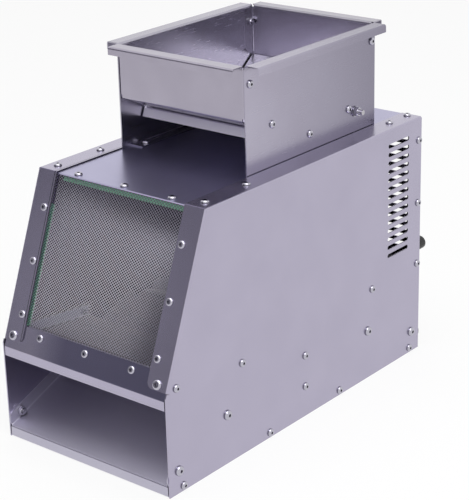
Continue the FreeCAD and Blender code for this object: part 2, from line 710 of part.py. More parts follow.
def rear_panel():
    """Rear sheet with turned edges, two banks of vents and the cut-outs of the electrics."""
    clear = OUTER_BEND + SEAM
    low = REAR - REAR_PANEL_FLANGE
    sides = folded_z([(-INNER, low), (-INNER, REAR), (INNER, REAR), (INNER, low)],
                     REAR_PANEL_FOOT + clear, UNDER_TOP - clear)
    web = folded_x([(low, UNDER_TOP), (REAR, UNDER_TOP), (REAR, REAR_PANEL_FOOT), (low, REAR_PANEL_FOOT)],
                   clear - INNER, INNER - clear)
    panel = fuse([sides, web])
    cutters = []
    for i in range(VENT_COUNT):
        z = HEIGHT - REAR_VENT_TOP_DROP - i * VENT_PITCH
        for side in (-1, 1):
            x = side * (HALF - REAR_VENT_INSET - VENT_LENGTH / 2)
            cutters.append(slot("y", VENT_LENGTH, REAR_VENT_HEIGHT, (x, REAR, z), 3 * SHEET))
    width, height = INLET_BODY
    cutters.append(along_y(rectangle(width + SEAM, height + SEAM, INLET_X, INLET_Z), REAR - 5, REAR + 5))
    width, height = SWITCH_BODY
    cutters.append(along_y(rectangle(width + SEAM, height + SEAM, SWITCH_X, SWITCH_Z), REAR - 5, REAR + 5))
    cutters.append(Part.makeCylinder(POT_BUSH + HOLE_CLEAR, 10, Vector(KNOB_X, REAR - 5, KNOB_Z), BACK))
    return drill(panel.cut(cutters), SIDE_STATIONS + REAR_ROW_STATIONS + TOP_REAR_STATIONS + INLET_STATIONS)


def fan_bay_floor():
    """Shelf under the fan, between the bulkhead and the rear panel."""
    wide = channel(INNER, BAY_FLANGE, BULKHEAD_Y, REAR - REAR_PANEL_FLANGE - SHEET, up=False)
    wide.translate(Vector(0, 0, BAY_FLOOR))
    reach = INNER - 2 * SHEET - SEAM
    end = REAR - SHEET
    path = [(BULKHEAD_Y, BAY_FLOOR), (end, BAY_FLOOR), (end, REAR_PANEL_FOOT + OUTER_BEND)]
    narrow = folded_x(path, -reach, reach)
    return drill(fuse([wide, narrow]), SIDE_STATIONS + BULKHEAD_STATIONS + BOARD_STATIONS)


def fan_bulkhead():
    """Upright between the wind chamber and the fan bay, with the fan's opening."""
    path = [(BULKHEAD_Y + BULKHEAD_FLANGE, BAY_FLOOR), (BULKHEAD_Y, BAY_FLOOR),
            (BULKHEAD_Y, UNDER_TOP), (BULKHEAD_Y + BULKHEAD_FLANGE, UNDER_TOP)]
    plate = folded_x(path, SEAM - INNER, INNER - SEAM)
    bore = Part.makeCylinder(FAN_BORE, 20, Vector(0, BULKHEAD_Y - 10, FAN_Z), BACK)
    return drill(plate.cut(bore), FAN_STATIONS + BULKHEAD_STATIONS)


def fan_frame():
    """Square axial fan housing with its motor seat on four struts at the rear."""
    half = FAN_SIZE / 2
    square = rectangle(FAN_SIZE, FAN_SIZE, 0, FAN_Z)
    corner = half - FAN_HOLE_SPREAD
    plates = [along_y(square, FAN_Y, FAN_Y + FAN_PLATE, [corner] * 4),
              along_y(square, FAN_REAR - FAN_PLATE, FAN_REAR, [corner] * 4)]
    centre = Vector(0, FAN_Y, FAN_Z)
    barrel = Part.makeCylinder(half - SEAM, FAN_DEPTH, centre, BACK)
    duct = Part.makeCylinder(FAN_BORE, FAN_DEPTH + 2, Vector(0, FAN_Y - 1, FAN_Z), BACK)
    shell = fuse([barrel] + plates).cut(duct)
    seat = Part.makeCylinder(HUB_RADIUS, STRUT_DEPTH, Vector(0, FAN_REAR - STRUT_DEPTH, FAN_Z), BACK)
    tube_end = FAN_Y + 3 * HUB_WALL
    tube_start = Vector(0, tube_end, FAN_Z)
    tube = Part.makeCylinder(BEARING_RADIUS + TUBE_WALL, FAN_REAR - tube_end - SHEET, tube_start, BACK)
    arms = []
    for i in range(4):
        half_width = STRUT_WIDTH / 2
        arm = box(HUB_RADIUS - 2, FAN_BORE + 1, FAN_REAR - STRUT_DEPTH, FAN_REAR, -half_width, half_width)
        arm.rotate(Vector(0, 0, 0), BACK, 45 + 90 * i)
        arm.translate(Vector(0, 0, FAN_Z))
        arms.append(arm)
    frame = fuse([shell, seat, tube] + arms)
    depth = FAN_REAR - STRUT_DEPTH - tube_end + 1
    hollow = Part.makeCylinder(BEARING_RADIUS, depth, Vector(0, tube_end - 1, FAN_Z), BACK)
    return drill(frame.cut(hollow), FAN_STATIONS)


def fan_bearings():
    """Two bearings in the seat's tube."""
    starts = (FAN_Y + 3 * HUB_WALL, FAN_REAR - STRUT_DEPTH - BEARING_WIDTH - SHEET)
    rings = []
    for y in starts:
        ring = Part.makeCylinder(BEARING_RADIUS, BEARING_WIDTH, Vector(0, y, FAN_Z), BACK)
        place = Vector(0, y - BEARING_WIDTH, FAN_Z)
        bore = Part.makeCylinder(SHAFT_RADIUS + SHAFT_CLEAR, 3 * BEARING_WIDTH, place, BACK)
        rings.append(ring.cut(bore))
    return Part.makeCompound(rings)


def fan_stator():
    """Wound core of the fan's motor round the bearing tube."""
    start = FAN_Y + 4 * HUB_WALL
    length = FAN_DEPTH - 4 * HUB_WALL - STRUT_DEPTH
    core = Part.makeCylinder(HUB_RADIUS - HUB_WALL - 1.5, length, Vector(0, start, FAN_Z), BACK)
    tube = Part.makeCylinder(BEARING_RADIUS + TUBE_WALL, length + 2, Vector(0, start - 1, FAN_Z), BACK)
    return core.cut(tube)


def fan_blade():
    """Cambered blade, standing along +Z from the hub."""
    half = BLADE_CHORD / 2
    t = BLADE_THICKNESS / 2
    corners = [Vector(-half, t, 0), Vector(half, t, 0), Vector(half, -t, 0), Vector(-half, -t, 0)]
    upper = Part.Arc(corners[0], Vector(0, BLADE_CAMBER + t, 0), corners[1]).toShape()
    right = Part.LineSegment(corners[1], corners[2]).toShape()
    lower = Part.Arc(corners[2], Vector(0, BLADE_CAMBER - t, 0), corners[3]).toShape()
    left = Part.LineSegment(corners[3], corners[0]).toShape()
    blade = Part.Face(Part.Wire([upper, right, lower, left])).extrude(Vector(0, 0, FAN_BORE))
    blade.rotate(Vector(0, 0, 0), UP, BLADE_PITCH)
    return blade


def fan_rotor():
    """Hub cup with its blades."""
    start = FAN_Y + HUB_WALL
    length = FAN_DEPTH - 2 * HUB_WALL - STRUT_DEPTH
    centre = Vector(0, start, FAN_Z)
    cup = Part.makeCylinder(HUB_RADIUS, length, centre, BACK)
    hollow = Part.makeCylinder(HUB_RADIUS - HUB_WALL, length, Vector(0, start + HUB_WALL, FAN_Z), BACK)
    cup = cup.cut(hollow)
    middle = start + length / 2
    tip = FAN_BORE - BLADE_TIP_GAP
    ring = Part.makeCylinder(tip, length, centre, BACK).cut(
        Part.makeCylinder(HUB_RADIUS - HUB_WALL / 2, length + 2, Vector(0, start - 1, FAN_Z), BACK))
    blades = []
    for i in range(BLADE_COUNT):
        blade = fan_blade()
        blade.rotate(Vector(0, 0, 0), BACK, 360 / BLADE_COUNT * i)
        blade.translate(Vector(0, middle, FAN_Z))
        blades.append(blade.common(ring))
    rotor = cup.fuse(blades)
    return rotor.cut(Part.makeCylinder(SHAFT_RADIUS, 4 * HUB_WALL, Vector(0, start - HUB_WALL, FAN_Z), BACK))


def fan_shaft():
    start = FAN_Y + HUB_WALL
    end = FAN_REAR - STRUT_DEPTH - SHEET / 2
    return Part.makeCylinder(SHAFT_RADIUS, end - start, Vector(0, start, FAN_Z), BACK)


def fan_guard():
    """Wire finger guard on the intake side."""
    plane = FAN_REAR + GUARD_WIRE + SEAM
    pieces = []
    rings = [FAN_BORE - GUARD_WIRE - i * GUARD_RING_PITCH for i in range(GUARD_RING_COUNT)]
    for radius in rings:
        pieces.append(Part.makeTorus(radius, GUARD_WIRE, Vector(0, plane + GUARD_SEAT, FAN_Z), BACK))
    corner = FAN_HOLE_SPREAD * math.sqrt(2)
    start = rings[-1] - GUARD_WIRE
    for i in range(4):
        arm = Part.makeCylinder(GUARD_WIRE, corner - M4[1] - SEAM - start, Vector(0, plane, start), UP)
        eye = Part.makeCylinder(M4[1] + 1, 2 * GUARD_WIRE, Vector(0, FAN_REAR, corner), BACK)
        for piece in (arm, eye):
            piece.rotate(Vector(0, 0, 0), BACK, 45 + 90 * i)
            piece.translate(Vector(0, 0, FAN_Z))
            pieces.append(piece)
    return drill(pieces[0].fuse(pieces[1:]), FAN_STATIONS)


FAN_STATIONS = [station(sx * FAN_HOLE_SPREAD, FAN_REAR + 2 * GUARD_WIRE, FAN_Z + sz * FAN_HOLE_SPREAD, BACK,
                        2 * GUARD_WIRE + FAN_DEPTH + SHEET) for sx in (-1, 1) for sz in (-1, 1)]
BULKHEAD_STATIONS = [station(x, BULKHEAD_Y + BULKHEAD_FLANGE - M4[1] - 1, BAY_FLOOR + SHEET, UP, 2 * SHEET)
                     for x in (-BULKHEAD_SCREW_X, 0, BULKHEAD_SCREW_X)]
INLET_STATIONS = [station(x, REAR + SHEET * 1.5, INLET_Z, BACK, 2.5 * SHEET, M3)
                  for x in (INLET_X - INLET_SCREW_SPREAD, INLET_X + INLET_SCREW_SPREAD)]
BOARD_Y = REAR - SHEET - BOARD_REAR_GAP - BOARD[1] / 2
BOARD_STATIONS = [station(BOARD_X + sx * (BOARD[0] / 2 - 4), BOARD_Y + sy * (BOARD[1] / 2 - 4),
                          BAY_FLOOR + STANDOFF + BOARD_THICKNESS, UP,
                          STANDOFF + BOARD_THICKNESS + SHEET, M3) for sx in (-1, 1) for sy in (-1, 1)]


def potentiometer():
    """Speed control: body behind the rear panel and its threaded bush through it."""
    inside = REAR - SHEET
    body = Part.makeCylinder(POT_BODY, POT_BODY_DEPTH, Vector(KNOB_X, inside - POT_BODY_DEPTH, KNOB_Z), BACK)
    bush = Part.makeCylinder(POT_BUSH, SHEET + POT_NUT_HEIGHT + 1, Vector(KNOB_X, inside, KNOB_Z), BACK)
    tags = []
    for x in (KNOB_X - POT_BODY / 2, KNOB_X, KNOB_X + POT_BODY / 2):
        top = KNOB_Z + POT_BODY
        tags.append(box(x - 1, x + 1, inside - 5, inside - 4, top - 2, top + 4))
    bottom = Vector(KNOB_X, inside - POT_BODY_DEPTH + 3, KNOB_Z)
    bore = Part.makeCylinder(POT_SHAFT + SHAFT_CLEAR, 2 * POT_BODY_DEPTH + REAR_REVEAL, bottom, BACK)
    return fuse([body, bush] + tags).cut(bore)


def potentiometer_nut():
    bore = Part.makeCylinder(POT_BUSH + NUT_CLEAR, 3 * POT_NUT_HEIGHT, Vector(0, 0, -POT_NUT_HEIGHT))
    nut = hexagon(POT_NUT_FLATS, 0, POT_NUT_HEIGHT).cut(bore)
    nut.Placement = Placement(Vector(KNOB_X, REAR, KNOB_Z), Rotation(UP, BACK))
    return nut


def potentiometer_shaft():
    start = REAR - SHEET - POT_BODY_DEPTH + 3.5
    end = REAR + KNOB_STANDOFF + KNOB_LENGTH - 3
    return Part.makeCylinder(POT_SHAFT, end - start, Vector(KNOB_X, start, KNOB_Z), BACK)


def speed_knob():
    """Small fluted knob with a pointer rib on its face."""
    start = REAR + KNOB_STANDOFF
    knob = Part.makeCylinder(KNOB_RADIUS, KNOB_LENGTH, Vector(0, start, 0), BACK)
    knob = knob.makeChamfer(0.8, [e for e in knob.Edges if abs(e.BoundBox.YMin - start - KNOB_LENGTH) < 0.01])
    flutes = []
    for i in range(KNOB_FLUTES):
        angle = math.radians(360 / KNOB_FLUTES * i)
        reach = KNOB_RADIUS + 0.3
        place = Vector(reach * math.cos(angle), start + 3, reach * math.sin(angle))
        flutes.append(Part.makeCylinder(0.7, KNOB_LENGTH, place, BACK))
    pointer = box(-0.5, 0.5, start + KNOB_LENGTH - 0.6, start + KNOB_LENGTH + 1, 1.5, KNOB_RADIUS + 1)
    bore = Part.makeCylinder(POT_SHAFT, KNOB_LENGTH - 3, Vector(0, start, 0), BACK)
    knob = knob.cut(flutes + [pointer, bore])
    knob.translate(Vector(KNOB_X, 0, KNOB_Z))
    return knob


def inlet_blades(start, end, half_width, half_height):
    """Three flat blades in the inlet's triangle, between two places along Y."""
    blades = []
    for dx, dz in INLET_PINS:
        x, z = INLET_X + dx, INLET_Z + dz
        blades.append(box(x - half_width, x + half_width, start, end, z - half_height, z + half_height))
    return blades


def power_inlet():
    """Three-pin mains inlet, screwed to the rear panel."""
    width, height = INLET_BODY
    face_w, face_h = INLET_FACE
    back = REAR - INLET_DEPTH
    floor = back + INLET_FLOOR
    flange = along_y(rectangle(face_w, face_h, INLET_X, INLET_Z), REAR, REAR + 1.5 * SHEET, [5.0] * 4)
    body = along_y(rectangle(width, height, INLET_X, INLET_Z), back, REAR)
    inside = rectangle(width - INLET_WALLS, height - INLET_WALLS, INLET_X, INLET_Z)
    recess = along_y(inside, floor, REAR + 5, [3.5] * 4)
    pins = inlet_blades(floor, REAR - 3, 1.0, 2.0)
    tags = inlet_blades(back - TAG_LENGTH, back, 0.4, 2.4)
    return drill(fuse([fuse([flange, body]).cut(recess)] + pins + tags), INLET_STATIONS)


def power_switch():
    """Rocker switch housing, snapped into the rear panel."""
    width, height = SWITCH_BODY
    face_w, face_h = SWITCH_FACE
    bezel = along_y(rectangle(face_w, face_h, SWITCH_X, SWITCH_Z), REAR, REAR + 2.0, [1.5] * 4)
    body = along_y(rectangle(width, height, SWITCH_X, SWITCH_Z), REAR - SWITCH_DEPTH, REAR)
    well = along_y(rectangle(width - 2.4, height - 2.4, SWITCH_X, SWITCH_Z), REAR - 6, REAR + 5)
    back = REAR - SWITCH_DEPTH
    tags = [box(SWITCH_X - 2.4, SWITCH_X + 2.4, back - TAG_LENGTH, back, z - 0.4, z + 0.4)
            for z in (SWITCH_Z - SWITCH_TAG, SWITCH_Z + SWITCH_TAG)]
    return fuse([fuse([bezel, body]).cut(well)] + tags)


def power_rocker():
    """Rocker with a shallow V face, resting with its lower end out."""
    width, height = SWITCH_BODY
    half = height / 2 - 1.7
    profile = [(-3.6, -half + 1), (2.6, -half), (1.4, 0), (2.6, half), (-3.6, half - 1)]
    rocker = along_x(profile, -width / 2 + 1.5, width / 2 - 1.5)
    rocker = rocker.common(Part.makeCylinder(half + 0.1, width, Vector(-width / 2, 0, 0), PANEL_NORMAL))
    rocker.rotate(Vector(0, 0, 0), PANEL_NORMAL, ROCKER_TILT)
    rocker.translate(Vector(SWITCH_X, REAR + 1.0, SWITCH_Z))
    return rocker


def control_board():
    low = BAY_FLOOR + STANDOFF
    board = along_z(rectangle(BOARD[0], BOARD[1], BOARD_X, BOARD_Y), low, low + BOARD_THICKNESS)
    return drill(board, BOARD_STATIONS)


def board_components():
    """Choke, capacitor, triac on its heat sink and a terminal block."""
    z = BAY_FLOOR + STANDOFF + BOARD_THICKNESS
    choke = Part.makeCylinder(6, 8, Vector(BOARD_X - 4, BOARD_Y + 4, z))
    choke = choke.cut(Part.makeCylinder(2.5, 10, Vector(BOARD_X - 4, BOARD_Y + 4, z - 1)))
    capacitor = box(BOARD_X - 16, BOARD_X - 12, BOARD_Y - 5, BOARD_Y + 9, z, z + 11)
    sink = box(BOARD_X + 5, BOARD_X + 7, BOARD_Y - 6, BOARD_Y + 12, z, z + 18)
    triac = box(BOARD_X + 7, BOARD_X + 11, BOARD_Y - 2, BOARD_Y + 8, z, z + 13)
    edge = BOARD_Y - BOARD[1] / 2
    half = BLOCK_LENGTH / 2
    block = box(BOARD_X - half, BOARD_X + half, edge, edge + BLOCK_DEPTH, z, z + BLOCK_HEIGHT)
    return Part.makeCompound([choke, capacitor, fuse([sink, triac]), block])


def board_standoffs():
    """Round posts between the bay floor and the board."""
    feet = [Vector(s["at"].x, s["at"].y, BAY_FLOOR) for s in BOARD_STATIONS]
    posts = [Part.makeCylinder(M3[1], STANDOFF, foot) for foot in feet]
    return drill(Part.makeCompound(posts), BOARD_STATIONS)


def lead(points):
    """Round wire along straight runs joined by tangent arcs, as large as the runs allow."""
    corners = [Vector(*p) for p in points]
    edges = []
    radii = []
    last = corners[0]
    for before, corner, after in zip(corners, corners[1:], corners[2:]):
        back = (before - corner).normalize()
        ahead = (after - corner).normalize()
        half_angle = back.getAngle(ahead) / 2
        reach = 0.45 * min((before - corner).Length, (after - corner).Length)
        radius = reach * math.tan(half_angle)
        radii.append(round(radius, 1))
        middle = (back + ahead).normalize()
        centre = corner + middle * (radius / math.sin(half_angle))
        start = corner + back * reach
        finish = corner + ahead * reach
        edges.append(Part.LineSegment(last, start).toShape())
        edges.append(Part.Arc(start, centre - middle * radius, finish).toShape())
        last = finish
    edges.append(Part.LineSegment(last, corners[-1]).toShape())
    path = Part.Wire(edges)
    direction = corners[1] - corners[0]
    section = Part.Wire(Part.makeCircle(LEAD_RADIUS, corners[0], direction))
    wire = path.makePipeShell([section], True, False, 2)
    swept = math.pi * LEAD_RADIUS ** 2 * path.Length
    print("lead", "radii", radii, "volume over section times length", round(wire.Volume / swept, 4))
    return wire


def fan_leads():
    """Mains and fan wiring inside the bay, between the inlet, switch, board and fan."""
    behind_inlet = REAR - INLET_DEPTH - TAG_LENGTH
    behind_switch = REAR - SWITCH_DEPTH - TAG_LENGTH
    block_top = BAY_FLOOR + STANDOFF + BOARD_THICKNESS + BLOCK_HEIGHT
    block_y = BOARD_Y - BOARD[1] / 2 + BLOCK_DEPTH / 2
    left_pin, right_pin = INLET_X + INLET_PINS[0][0], INLET_X + INLET_PINS[2][0]
    pin_z = INLET_Z + INLET_PINS[0][1]
    tag_z = SWITCH_Z + SWITCH_TAG
    beside_fan = -FAN_SIZE / 2 - LEAD_RUN
    fan_side = FAN_REAR - 2 * LEAD_RUN
    terminal = BLOCK_LENGTH / 3
    inlet_to_switch = lead([
        (right_pin, behind_inlet, pin_z), (right_pin, behind_inlet - LEAD_RUN, pin_z),
        ((right_pin + SWITCH_X) / 2, behind_inlet - LEAD_RUN, (pin_z + tag_z) / 2 + LEAD_RUN / 2),
        (SWITCH_X, behind_switch - LEAD_RUN, tag_z), (SWITCH_X, behind_switch, tag_z)])
    inlet_to_board = lead([
        (left_pin, behind_inlet, pin_z), (left_pin, behind_inlet - LEAD_RUN, pin_z),
        (left_pin - 2 * LEAD_RUN, behind_inlet - LEAD_RUN, block_top + 1.5 * LEAD_RUN),
        (BOARD_X + terminal, block_y, block_top + 1.3 * LEAD_RUN), (BOARD_X + terminal, block_y, block_top)])
    board_to_fan = lead([
        (BOARD_X - terminal, block_y, block_top), (BOARD_X - terminal, block_y, block_top + 1.3 * LEAD_RUN),
        (BOARD_X - terminal, block_y - 1.3 * LEAD_RUN, block_top + 2.3 * LEAD_RUN),
        (beside_fan, fan_side, FAN_Z - 3 * LEAD_RUN), (beside_fan, fan_side, FAN_Z),
        (-FAN_SIZE / 2 + SEAM, fan_side, FAN_Z)])
    return Part.makeCompound([inlet_to_switch, inlet_to_board, board_to_fan])


def hopper_tabs(y, inward):
    """Turned-in tabs at both ends of a hopper wall, whose outer face is at y."""
    end = y + inward * TAB
    path = [(HOP_IN, end), (HOP_IN, y), (-HOP_IN, y), (-HOP_IN, end)]
    if inward < 0:
        path = path[::-1]
    low = HOP_TOP - HOPPER_WALL_HEIGHT + 3 * SHEET
    tabs = folded_z(path, low, HOP_TOP - OUTER_BEND - SEAM)
    radius = TAB / 2
    corner = y + inward * (TAB - radius)
    near, far = sorted((corner, end))
    cutter = box(-HOP_HALF, HOP_HALF, near, far, low, low + radius).cut(
        Part.makeCylinder(radius, WIDTH, Vector(-HALF, corner, low + radius), PANEL_NORMAL))
    return tabs.cut(cutter)


def slope_local(along, lift):
    """(y, z) near the gate: distance up the rear slope from the shaft, height above it."""
    angle = math.radians(SLOPE_ANGLE)
    return (GATE_Y + along * math.cos(angle) - lift * math.sin(angle),
            GATE_Z + along * math.sin(angle) + lift * math.cos(angle))


GATE_TIP_Y = slope_local(-GATE_LENGTH, GATE_SHAFT_RADIUS + SHEET)[0]
FEED_SLOPE = math.atan2(FEED_Z - TOP + FEED_END_DROP, GATE_TIP_Y - FEED_Y)
THROAT_FRONT = GATE_TIP_Y - THROAT_MARGIN
THROAT_REAR = BULKHEAD_Y
FEED_FLANGE_END = (THROAT_FRONT - FEED_Y) / math.cos(FEED_SLOPE) - 3 * SHEET


def front_slope():
    """Angle of the front wall's turned-in foot, which lies on the feed plate."""
    feed = math.tan(FEED_SLOPE)
    touch = FEED_Y + FEED_LIP * 1.2
    wall_foot = HOP_TOP - HOPPER_WALL_HEIGHT
    return math.atan2(wall_foot - (FEED_Z - (touch - FEED_Y) * feed), touch - HOP_FRONT)


def hopper_front_wall():
    """Short front wall: rolled rim outside, tabs inside, foot turned in over the feed plate."""
    y = HOP_FRONT
    angle = front_slope()
    foot = HOP_TOP - HOPPER_WALL_HEIGHT
    lift = SHEET / math.cos(angle)
    corner = (y + SHEET, foot - SHEET * math.tan(angle) + lift)
    length = (FEED_Y + FEED_LIP * 1.2 - SHEET * math.sin(angle) - corner[0])
    end = (corner[0] + length, corner[1] - length * math.tan(angle))
    rim = [(y - RIM_WIDTH, HOP_TOP - RIM_LIP), (y - RIM_WIDTH, HOP_TOP)]
    reach = HOP_IN - OUTER_BEND - SEAM
    wall = folded_x(rim + [(y + SHEET, HOP_TOP), corner, end], -reach, reach)
    wide_rim = folded_x(rim + [(y - SEAM, HOP_TOP)], RIM_MITRE - HOP_IN, HOP_IN - RIM_MITRE)
    return drill(fuse([wall, wide_rim, hopper_tabs(y, 1)]), HOPPER_STATIONS)


def hopper_rear_wall():
    """Full-height rear wall with the same rim and tabs, standing on the top plate."""
    y = HOP_REAR
    inside = y - SHEET
    path = [(inside - FOOT_FLANGE, TOP + SHEET), (inside, TOP + SHEET), (inside, HOP_TOP),
            (y + RIM_WIDTH, HOP_TOP), (y + RIM_WIDTH, HOP_TOP - RIM_LIP)]
    reach = HOP_IN - OUTER_BEND - SEAM
    wall = folded_x(path, -reach, reach)
    wide_rim = folded_x([(y + SEAM, HOP_TOP)] + path[3:], RIM_MITRE - HOP_IN, HOP_IN - RIM_MITRE)
    low, high = TOP + OUTER_BEND + SEAM, HOP_TOP - OUTER_BEND - SEAM
    skirt = box(SEAM - HOP_IN, HOP_IN - SEAM, inside, y, low, high)
    return drill(fuse([wall, wide_rim, skirt, hopper_tabs(y, -1)]), HOPPER_STATIONS + FOOT_STATIONS)


def hopper_side_wall():
    """Right wall: rim turned out, two feet turned in on the top plate."""
    path = [(HOP_IN, TOP), (HOP_IN, HOP_TOP), (HOP_HALF + RIM_WIDTH, HOP_TOP),
            (HOP_HALF + RIM_WIDTH, HOP_TOP - RIM_LIP)]
    wall = folded_y(path, HOP_FRONT, HOP_REAR)
    rim_low = HOP_TOP - RIM_LIP - 1
    for end, inward in ((HOP_FRONT, 1), (HOP_REAR, -1)):
        low, high = sorted((end - inward, end + inward * RIM_END))
        wall = wall.cut(box(HOP_HALF + SEAM, HALF, low, high, rim_low, HOP_TOP + 1))
    pieces = [wall]
    base = TOP + SHEET
    for low, high in FOOT_SPANS:
        foot = [(HOP_IN - FOOT_FLANGE, base), (HOP_IN, base), (HOP_IN, base + 4 * BEND)]
        pieces.append(folded_y(foot, low, high))
    pivot = Vector(0, GATE_Y, GATE_Z)
    bearing = Part.makeCylinder(GATE_SHAFT_RADIUS + SHAFT_CLEAR, WIDTH, pivot, PANEL_NORMAL)
    return drill(fuse(pieces).cut(bearing), HOPPER_STATIONS + FOOT_STATIONS)


def feed_local(along, lift):
    """(y, z) of a point on the feed plate: distance down it, height above its underside."""
    under = SHEET - lift
    return (FEED_Y + along * math.cos(FEED_SLOPE) - under * math.sin(FEED_SLOPE),
            FEED_Z - along * math.sin(FEED_SLOPE) - under * math.cos(FEED_SLOPE))


def feed_length():
    """Feed plate's length, to just before the closed gate's tip."""
    return (GATE_TIP_Y - FEED_Y - GATE_GAP) / math.cos(FEED_SLOPE)


FOOT_SPANS = ((HOP_FRONT + TAB, THROAT_FRONT - SHEET), (THROAT_REAR + 2 * SHEET, HOP_REAR - TAB - SHEET))
SLOPE_UNDER = GATE_SHAFT_RADIUS + SHEET + GATE_GAP
HOPPER_TAB_STATIONS = both_sides([
    station(HOP_HALF, HOP_FRONT + TAB_SCREW_INSET, HOP_TOP - TAB_SCREW_DROP, PANEL_NORMAL, 2 * SHEET),
    station(HOP_HALF, HOP_REAR - REAR_TAB_SCREW_INSET, HOP_TOP - TAB_SCREW_DROP, PANEL_NORMAL, 2 * SHEET)])
FEED_STATIONS = both_sides([
    station(HOP_HALF, *feed_local(d, SHEET + FEED_SCREW_LIFT), PANEL_NORMAL, 2 * SHEET)
    for d in (FEED_SCREW_START, FEED_FLANGE_END - FEED_SCREW_END)])
SLOPE_STATIONS = both_sides([station(HOP_HALF, *slope_local(-SLOPE_SCREW, SLOPE_UNDER + SLOPE_SCREW_LIFT),
                                     PANEL_NORMAL, 2 * SHEET)])
HOPPER_STATIONS = HOPPER_TAB_STATIONS + FEED_STATIONS + SLOPE_STATIONS
FOOT_X = HOP_IN - FOOT_FLANGE / 2
FOOT_PLACES = (FOOT_SPANS[0][0] + FOOT_SCREW_INSET, FOOT_SPANS[0][1] - FOOT_SCREW_INSET,
               FOOT_SPANS[1][1] - REAR_FOOT_SCREW_INSET)
FOOT_STATIONS = both_sides([station(FOOT_X, y, TOP + SHEET, UP, 2 * SHEET) for y in FOOT_PLACES])


def hopper_feed_plate():
    """Sloping plate that leads grain down to the gate, with a lip at its high front end."""
    path = [(0, -FEED_LIP), (0, 0), (feed_length(), 0)]
    reach = HOP_IN - SHEET - SEAM
    floor = folded_x(path, -reach, reach)
    trough = channel(HOP_IN, FEED_FLANGE, OUTER_BEND + SEAM, FEED_FLANGE_END)
    trough.translate(Vector(0, 0, -SHEET))
    radius = FEED_FLANGE / 2
    centre = Vector(-HALF, OUTER_BEND + radius, radius)
    nose = box(-HOP_HALF, HOP_HALF, 0, OUTER_BEND + radius, radius, FEED_FLANGE + 1).cut(
        Part.makeCylinder(radius, WIDTH, centre, PANEL_NORMAL))
    plate = tilted(fuse([floor, trough.cut(nose)]), -math.degrees(FEED_SLOPE), FEED_Y, FEED_Z)
    return drill(plate, FEED_STATIONS)


def hopper_rear_slope():
    """Rear slope of the hopper, ending over the gate's hinge."""
    angle = math.radians(SLOPE_ANGLE)
    start = -SLOPE_OVERLAP
    wall_y = HOP_REAR - SHEET - SEAM
    end = (wall_y - GATE_Y + (SLOPE_UNDER + SHEET) * math.sin(angle)) / math.cos(angle) - SHEET
    tab_y = HOP_REAR - TAB - SEAM
    flange_end = (tab_y - GATE_Y) / math.cos(angle) - SHEET
    floor = box(-HOP_IN + SEAM + SHEET, HOP_IN - SEAM - SHEET, start, end, 0, SHEET)
    trough = channel(HOP_IN, SLOPE_FLANGE, start, flange_end)
    plate = tilted(fuse([floor, trough]), SLOPE_ANGLE, *slope_local(0, SLOPE_UNDER))
    return drill(plate, SLOPE_STATIONS)


def feed_gate():
    """Flap rolled round the cross shaft, shut against the end of the feed plate."""
    reach = HOP_IN - 2 * SEAM
    radius = GATE_SHAFT_RADIUS
    flap = box(-reach, reach, -GATE_LENGTH, 0, radius, radius + SHEET)
    roll = Part.makeCylinder(radius + SHEET, 2 * reach, Vector(-reach, 0, 0), PANEL_NORMAL)
    bore = Part.makeCylinder(radius, 4 * reach, Vector(-2 * reach, 0, 0), PANEL_NORMAL)
    gate = fuse([flap, roll]).cut(bore)
    return tilted(gate, SLOPE_ANGLE, GATE_Y, GATE_Z)


def gate_shaft():
    end = HOP_HALF + GATE_SHAFT_END
    return Part.makeCylinder(GATE_SHAFT_RADIUS, 2 * end, Vector(-end, GATE_Y, GATE_Z), PANEL_NORMAL)


def gate_washers():
    """Plain washers outside the hopper's walls."""
    start = HOP_HALF + SHAFT_CLEAR * 3
    washer = Part.makeCylinder(M5[1] + SEAM, 1.0, Vector(start, GATE_Y, GATE_Z), PANEL_NORMAL)
    bore = Part.makeCylinder(GATE_SHAFT_RADIUS, 9, Vector(start - 2, GATE_Y, GATE_Z), PANEL_NORMAL)
    washer = washer.cut(bore)
    return Part.makeCompound([washer, mirrored(washer)])


def gate_nuts():
    """Nuts that pinch the shaft to hold the gate where it is set."""
    start = HOP_HALF + SHAFT_CLEAR * 3 + 1.0
    nut = hex_nut((GATE_SHAFT_RADIUS,) + M5[1:])
    nut = nut.fuse(Part.makeCylinder(GATE_SHAFT_RADIUS + NUT_CLEAR, 4.0, Vector(0, 0, -4.0)))
    nut = nut.cut(Part.makeCylinder(GATE_SHAFT_RADIUS, 9, Vector(0, 0, -6.0)))
    nut.Placement = Placement(Vector(start, GATE_Y, GATE_Z), Rotation(UP, -PANEL_NORMAL))
    return Part.makeCompound([nut, mirrored(nut)])


